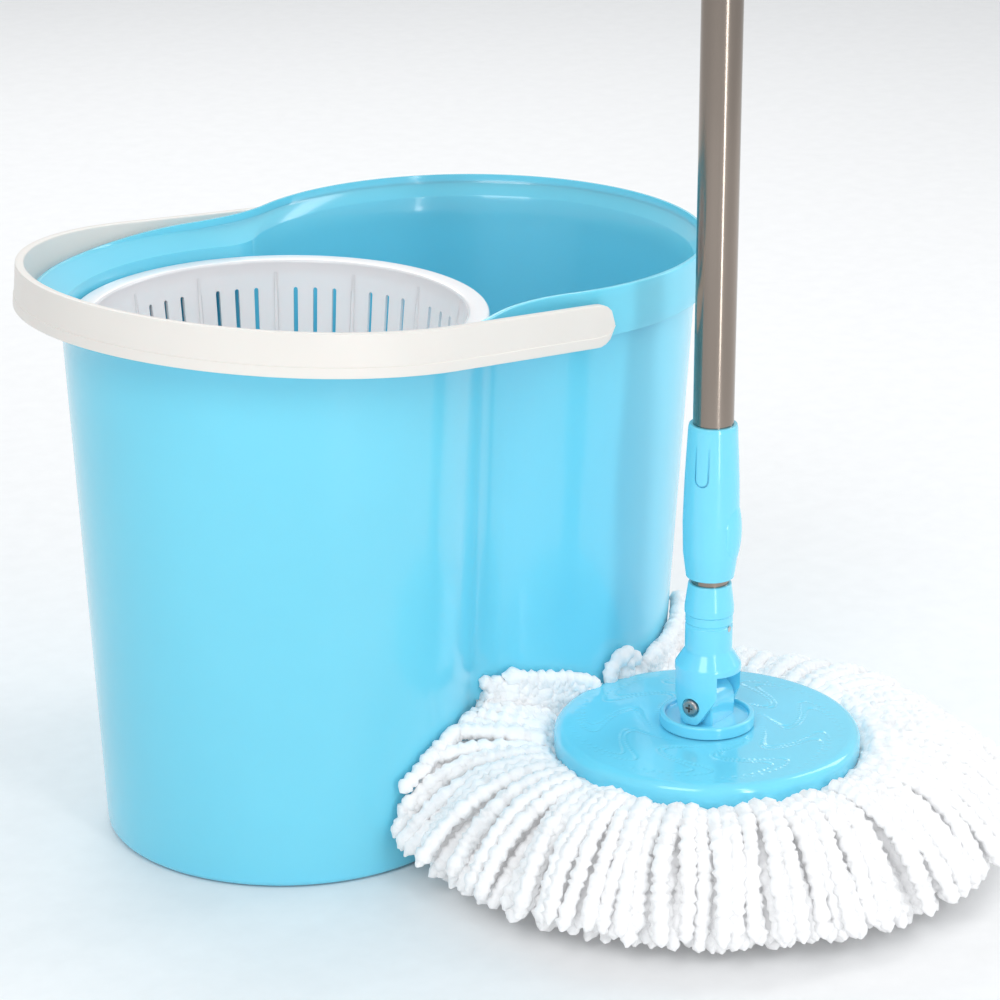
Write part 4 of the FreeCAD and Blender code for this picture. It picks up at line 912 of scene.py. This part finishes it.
def make_mop_disc():
    """The mop's round disc: rounded edge, swirl lines in its glossy top, hub underneath."""
    depth = bpy.context.scene.spin_mop_sizes.swirl_depth
    under = DISC_TOP_Z - DISC_SKIN
    profile = [(DISC_BORE_R, DISC_EDGE_Z), (DISC_BORE_R, DISC_TOP_Z - 0.4 * MM),
               (DISC_BORE_R + 0.4 * MM, DISC_TOP_Z)]
    top_out = DISC_R - 6.5 * MM
    for i in range(1, DISC_ROWS + 1):
        radius = DISC_BORE_R + 0.6 * MM + (top_out - DISC_BORE_R) * i / DISC_ROWS
        profile.append((radius, DISC_TOP_Z - 0.9 * MM * (i / DISC_ROWS) ** 2))
    profile += round_corners([
        (top_out + 0.9 * MM, DISC_TOP_Z - 0.9 * MM), (DISC_R, DISC_TOP_Z - 1.3 * MM, 5 * MM),
        (DISC_R, DISC_EDGE_Z, 1 * MM), (DISC_R - DISC_SKIN, DISC_EDGE_Z),
        (DISC_R - DISC_SKIN, under, 2 * MM),
        (DISC_HUB_R, under, 2 * MM), (DISC_HUB_R, DISC_EDGE_Z)], steps=6)
    rings = turned_rings(profile, DISC_STEPS, DISC_CENTRE)
    for ring, (radius, height) in zip(rings, profile):
        if height < DISC_TOP_Z - 1.0 * MM or not SWIRL_IN < radius < SWIRL_OUT:
            continue
        for j, (x, y, z) in enumerate(ring):
            ring[j] = (x, y, z - depth * swirl_cut(radius, 2 * math.pi * j / DISC_STEPS))
    points, faces = skin(rings, closed_profile=True)
    disc = outward(new_piece("mop_disc_moulding", points, faces, "mop_blue"))
    smooth_by_angle(disc, 40)
    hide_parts("mop_disc")
    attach(disc, "mop_head")


def strand_tree():
    """Tree that turns paths into knobbly chenille strands."""
    tree = Tree("chenille_strands", [
        ("Width", "Float"), ("Knob Pitch", "Float"), ("Step", "Float"), ("Fuzz", "Float"),
        ("Material", "Material")])
    resample = tree.node("GeometryNodeResampleCurve", mode="LENGTH")
    tree.link(tree.start.outputs["Geometry"], resample.inputs["Curve"])
    tree.link(tree.start.outputs["Step"], resample.inputs["Length"])
    along = tree.node("GeometryNodeSplineParameter")
    place = tree.node("GeometryNodeInputPosition")
    patchy = tree.node("ShaderNodeTexNoise")
    patchy.inputs["Scale"].default_value = 150.0
    patchy.inputs["Detail"].default_value = 1.0
    tree.link(place.outputs["Position"], patchy.inputs["Vector"])
    phase = tree.maths("DIVIDE", along.outputs["Length"], tree.start.outputs["Knob Pitch"])
    phase = tree.maths("ADD", phase, tree.maths("MULTIPLY", patchy.outputs["Fac"], 2.2))
    knob = tree.maths("SINE", tree.maths("MULTIPLY", phase, 2 * math.pi))
    knob = tree.maths("ADD", tree.maths("MULTIPLY", knob, 0.19), 0.9)
    to_tip = tree.maths("SUBTRACT", 1.0, along.outputs["Factor"])
    tip = tree.maths("MINIMUM", tree.maths("MULTIPLY", to_tip, 22.0), 1.0)
    tip = tree.maths("SQRT", tree.maths("MAXIMUM", tip, 0.03))
    half = tree.maths("MULTIPLY", tree.start.outputs["Width"], 0.5)
    radius = tree.maths("MULTIPLY", tree.maths("MULTIPLY", half, knob), tip)
    set_radius = tree.node("GeometryNodeSetCurveRadius")
    tree.link(resample.outputs["Curve"], set_radius.inputs["Curve"])
    tree.link(radius, set_radius.inputs["Radius"])
    circle = tree.node("GeometryNodeCurvePrimitiveCircle", mode="RADIUS")
    circle.inputs["Resolution"].default_value = 8
    circle.inputs["Radius"].default_value = 1.0
    sweep = tree.node("GeometryNodeCurveToMesh")
    sweep.inputs["Fill Caps"].default_value = True
    tree.link(set_radius.outputs["Curve"], sweep.inputs["Curve"])
    tree.link(circle.outputs["Curve"], sweep.inputs["Profile Curve"])
    tree.link(radius, sweep.inputs["Scale"])
    fuzz = tree.node("ShaderNodeTexNoise")
    fuzz.inputs["Scale"].default_value = 420.0
    fuzz.inputs["Detail"].default_value = 1.0
    tree.link(place.outputs["Position"], fuzz.inputs["Vector"])
    normal = tree.node("GeometryNodeInputNormal")
    push = tree.node("ShaderNodeVectorMath", operation="SCALE")
    tree.link(normal.outputs["Normal"], push.inputs[0])
    centred = tree.maths("SUBTRACT", fuzz.outputs["Fac"], 0.5)
    amount = tree.maths("MULTIPLY", centred, tree.start.outputs["Fuzz"])
    tree.link(amount, push.inputs["Scale"])
    shift = tree.node("GeometryNodeSetPosition")
    tree.link(sweep.outputs["Mesh"], shift.inputs["Geometry"])
    tree.link(push.outputs["Vector"], shift.inputs["Offset"])
    smooth = tree.node("GeometryNodeSetShadeSmooth")
    tree.link(shift.outputs["Geometry"], smooth.inputs["Geometry"])
    tree.close(smooth.outputs["Geometry"])
    return tree


def back_share(angle):
    """0 on the side where the pile falls steepest, 1 on the far side, where it lies fuller."""
    return (1 - math.cos(angle + FALL_HEADING)) / 2


def yarn_reach(angle):
    """How far the strands spread from the mop's axis in a direction: wider along one diagonal."""
    spread = YARN_SPREAD * math.cos(2 * (angle + SPREAD_HEADING))
    return YARN_REACH + spread + YARN_BACK_SPREAD * back_share(angle)


def free_run(angle, reach):
    """Distance a strand can run from the mop's axis before it meets the bucket, up to its reach."""
    run = reach
    for centre, foot, top in ((0.0, FOOT_R[0], WALL_TOP_R[0]), (LOBE_DISTANCE, FOOT_R[1], WALL_TOP_R[1])):
        radius = foot + (top - foot) * YARN_HIGH.z / WALL_TOP_Z
        x, y = centre - DISC_CENTRE[0], -DISC_CENTRE[1]
        ahead = x * math.cos(angle) + y * math.sin(angle)
        aside = abs(x * math.sin(angle) - y * math.cos(angle))
        if ahead > 0 and aside < radius:
            run = min(run, ahead - math.sqrt(radius * radius - aside * aside))
    return run


def strand_path(angle, row, dice, width):
    """Points of one strand: out from under the disc, over a crest, then down, or up the bucket's wall."""
    half = width / 2
    start_r, crest_r = DISC_R - (7 + 8.5 * row) * MM, DISC_R + (12 - 2 * row) * MM
    start_z, crest_z = DISC_EDGE_Z - (8.5 + 4 * row) * MM, DISC_EDGE_Z + (4 - 11 * row) * MM
    crest_z += dice.uniform(-2.0, 2.5) * MM
    reach = yarn_reach(angle)
    end_r = reach * (1 - 0.03 * row) + dice.uniform(-9, 5) * MM
    held = min(1.0, max(0.0, (reach - free_run(angle, reach)) / CLIMB_RUN)) ** 0.7
    full = back_share(angle)
    end_z = half + dice.uniform(0.3, 3.0) * MM + (2.8 + 3.4 * full) * MM * (4 - row)
    climb_z = CLIMB_Z - CLIMB_ROW_STEP * row + dice.uniform(-7, 5) * MM
    sway = dice.uniform(-1, 1) * STRAND_SWAY
    wave = dice.uniform(0, 2 * math.pi)
    swing = dice.uniform(0.8, 2.4) * MM
    path = []
    for i in range(STRAND_POINTS + 1):
        share = i / STRAND_POINTS
        radius = start_r + (end_r - start_r) * share
        if radius < crest_r:
            rise = (radius - start_r) / (crest_r - start_r)
            z = start_z + (crest_z - start_z) * rise * rise * (3 - 2 * rise)
        else:
            fall = (radius - crest_r) / (end_r - crest_r)
            lying = crest_z + (end_z - crest_z) * fall ** (YARN_FALL[0] + YARN_FALL[1] * full)
            climbing = crest_z + (climb_z - crest_z) * fall ** 0.8
            z = lying + (climbing - lying) * held
        z += swing * 0.3 * math.sin(wave + 9 * share) * share
        turn = angle + sway * share + swing * math.sin(wave + 7 * share) * share / radius
        x = DISC_CENTRE[0] + radius * math.cos(turn)
        y = DISC_CENTRE[1] + radius * math.sin(turn)
        x, y = off_the_bucket(x, y, z, half + BUCKET_CLEARANCE)
        path.append((x, y, max(z, half * 1.05)))
    return path


def off_the_bucket(x, y, z, gap):
    """Place moved out of the bucket's wall."""
    share = z / WALL_TOP_Z
    for centre, foot, top in ((0.0, FOOT_R[0], WALL_TOP_R[0]), (LOBE_DISTANCE, FOOT_R[1], WALL_TOP_R[1])):
        keep = foot + (top - foot) * share + gap
        away = math.hypot(x - centre, y)
        if away < keep:
            x = centre + (x - centre) * keep / away
            y = y * keep / away
    return x, y


def make_yarn():
    """The mop's yarn: rows of chenille strands, one piece for each row."""
    sizes = bpy.context.scene.spin_mop_sizes
    dice = random.Random(STRAND_SEED)
    tree = strand_tree()
    for row in range(sizes.strand_rows):
        curve = bpy.data.curves.new(f"yarn_paths_{row}", "CURVE")
        curve.dimensions = "3D"
        count = sizes.strands_per_row - 5 * row
        for i in range(count):
            angle = 2 * math.pi * (i + 0.5 * (row % 2) + dice.uniform(-0.25, 0.25)) / count
            path = strand_path(angle, row, dice, sizes.strand_width)
            spline = curve.splines.new("POLY")
            spline.points.add(len(path) - 1)
            for point, place in zip(spline.points, path):
                point.co = (*place, 1)
        source = bpy.data.objects.new(f"yarn_paths_{row}", curve)
        bpy.context.scene.collection.objects.link(source)
        values = {"Width": sizes.strand_width, "Knob Pitch": sizes.knob_pitch, "Step": STRAND_STEP,
                  "Fuzz": STRAND_FUZZ}
        piece = grown(f"yarn_row_{row}", source, tree, values, "yarn")
        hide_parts("mop_yarn")
        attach(piece, "mop_head")


def dress_nodes():
    """Give every CAD node that stays its finish."""
    for name, finish in NODE_FINISH.items():
        node = frame["nodes"][name]
        node.data.materials.clear()
        node.data.materials.append(finish_of(finish))


# ================================================================ stage
def soft_light(name, place, width, height, power):
    """Rectangular soft light aimed at the set."""
    data = bpy.data.lights.new(name, "AREA")
    data.shape = "RECTANGLE"
    data.size, data.size_y, data.energy = width, height, power
    lamp = bpy.data.objects.new(name, data)
    lamp.location = place
    lamp.rotation_euler = (Vector(LIGHT_TARGET) - Vector(place)).to_track_quat("-Z", "Y").to_euler()
    bpy.context.scene.collection.objects.link(lamp)


def make_stage():
    """Pale floor, soft studio light and the camera."""
    world = bpy.data.worlds.new("studio")
    world.use_nodes = True
    background = world.node_tree.nodes["Background"]
    background.inputs["Color"].default_value = WORLD_COLOUR
    background.inputs["Strength"].default_value = WORLD_STRENGTH
    bpy.context.scene.view_settings.view_transform = "Standard"
    bpy.context.scene.world = world
    mesh = bpy.data.meshes.new("studio_floor")
    half = FLOOR_HALF
    corners = [(-half, -half, 0), (half, -half, 0), (half, half, 0), (-half, half, 0)]
    mesh.from_pydata(corners, [], [(0, 1, 2, 3)])
    mesh.materials.append(studio_floor("studio_floor"))
    floor = bpy.data.objects.new("studio_floor", mesh)
    floor.location = (0, 0, -FLOOR_DROP)
    bpy.context.scene.collection.objects.link(floor)
    for light in LIGHTS:
        soft_light(*light)
    data = bpy.data.cameras.new("view")
    data.lens = CAMERA_LENS
    data.sensor_width = SENSOR_WIDTH
    data.clip_end = FAR_CLIP
    camera = bpy.data.objects.new("view", data)
    camera.location = CAMERA_PLACE
    ahead = Vector((math.sin(CAMERA_HEADING) * math.cos(CAMERA_DIP),
                    math.cos(CAMERA_HEADING) * math.cos(CAMERA_DIP), -math.sin(CAMERA_DIP)))
    camera.rotation_euler = ahead.to_track_quat("-Z", "Y").to_euler()
    bpy.context.scene.collection.objects.link(camera)
    bpy.context.scene.camera = camera


# ================================================================ operators and panel
class SPINMOP_OT_stage(bpy.types.Operator):
    """Add the floor, the lights and the camera"""
    bl_idname = "spinmop.stage"
    bl_label = "Stage"

    def execute(self, context):
        make_stage()
        return {"FINISHED"}


class SPINMOP_OT_bucket(bpy.types.Operator):
    """Build the bucket's moulding"""
    bl_idname = "spinmop.bucket"
    bl_label = "Bucket"

    def execute(self, context):
        make_bucket()
        return {"FINISHED"}


class SPINMOP_OT_basket(bpy.types.Operator):
    """Build the spin basket"""
    bl_idname = "spinmop.basket"
    bl_label = "Spin basket"

    def execute(self, context):
        make_basket()
        return {"FINISHED"}


class SPINMOP_OT_bail(bpy.types.Operator):
    """Build the bail"""
    bl_idname = "spinmop.bail"
    bl_label = "Bail"

    def execute(self, context):
        make_bail()
        return {"FINISHED"}


class SPINMOP_OT_mop_disc(bpy.types.Operator):
    """Build the mop's disc"""
    bl_idname = "spinmop.mop_disc"
    bl_label = "Mop disc"

    def execute(self, context):
        make_mop_disc()
        return {"FINISHED"}


class SPINMOP_OT_yarn(bpy.types.Operator):
    """Build the mop's yarn"""
    bl_idname = "spinmop.yarn"
    bl_label = "Yarn"

    def execute(self, context):
        make_yarn()
        return {"FINISHED"}


class SPINMOP_OT_fittings(bpy.types.Operator):
    """Finish the handle, the yoke and the inner parts"""
    bl_idname = "spinmop.fittings"
    bl_label = "Handle and fittings"

    def execute(self, context):
        dress_nodes()
        return {"FINISHED"}


BUILD_ORDER = (SPINMOP_OT_stage, SPINMOP_OT_bucket, SPINMOP_OT_basket, SPINMOP_OT_bail,
               SPINMOP_OT_mop_disc, SPINMOP_OT_yarn, SPINMOP_OT_fittings)


class SPINMOP_PT_panel(bpy.types.Panel):
    """Settings and build steps of the spin mop set"""
    bl_label = "Spin mop set"
    bl_idname = "SPINMOP_PT_panel"
    bl_space_type = "VIEW_3D"
    bl_region_type = "UI"
    bl_category = "Spin mop"

    def draw(self, context):
        for group in (context.scene.spin_mop_colours, context.scene.spin_mop_sizes):
            for name in group.__annotations__:
                self.layout.prop(group, name)
        for step in BUILD_ORDER:
            self.layout.operator(step.bl_idname)


CLASSES = (SpinMopColours, SpinMopSizes, *BUILD_ORDER, SPINMOP_PT_panel)


def register():
    """Register the classes and the scene's settings."""
    for item in CLASSES:
        bpy.utils.register_class(item)
    bpy.types.Scene.spin_mop_colours = bpy.props.PointerProperty(type=SpinMopColours)
    bpy.types.Scene.spin_mop_sizes = bpy.props.PointerProperty(type=SpinMopSizes)


def unregister():
    """Take the settings and the classes away again."""
    del bpy.types.Scene.spin_mop_sizes
    del bpy.types.Scene.spin_mop_colours
    for item in reversed(CLASSES):
        bpy.utils.unregister_class(item)


def main():
    """Build everything in order."""
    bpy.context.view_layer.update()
    register()
    for step in BUILD_ORDER:
        module, name = step.bl_idname.split(".")
        getattr(getattr(bpy.ops, module), name)()


if __name__ == "__main__":
    main()
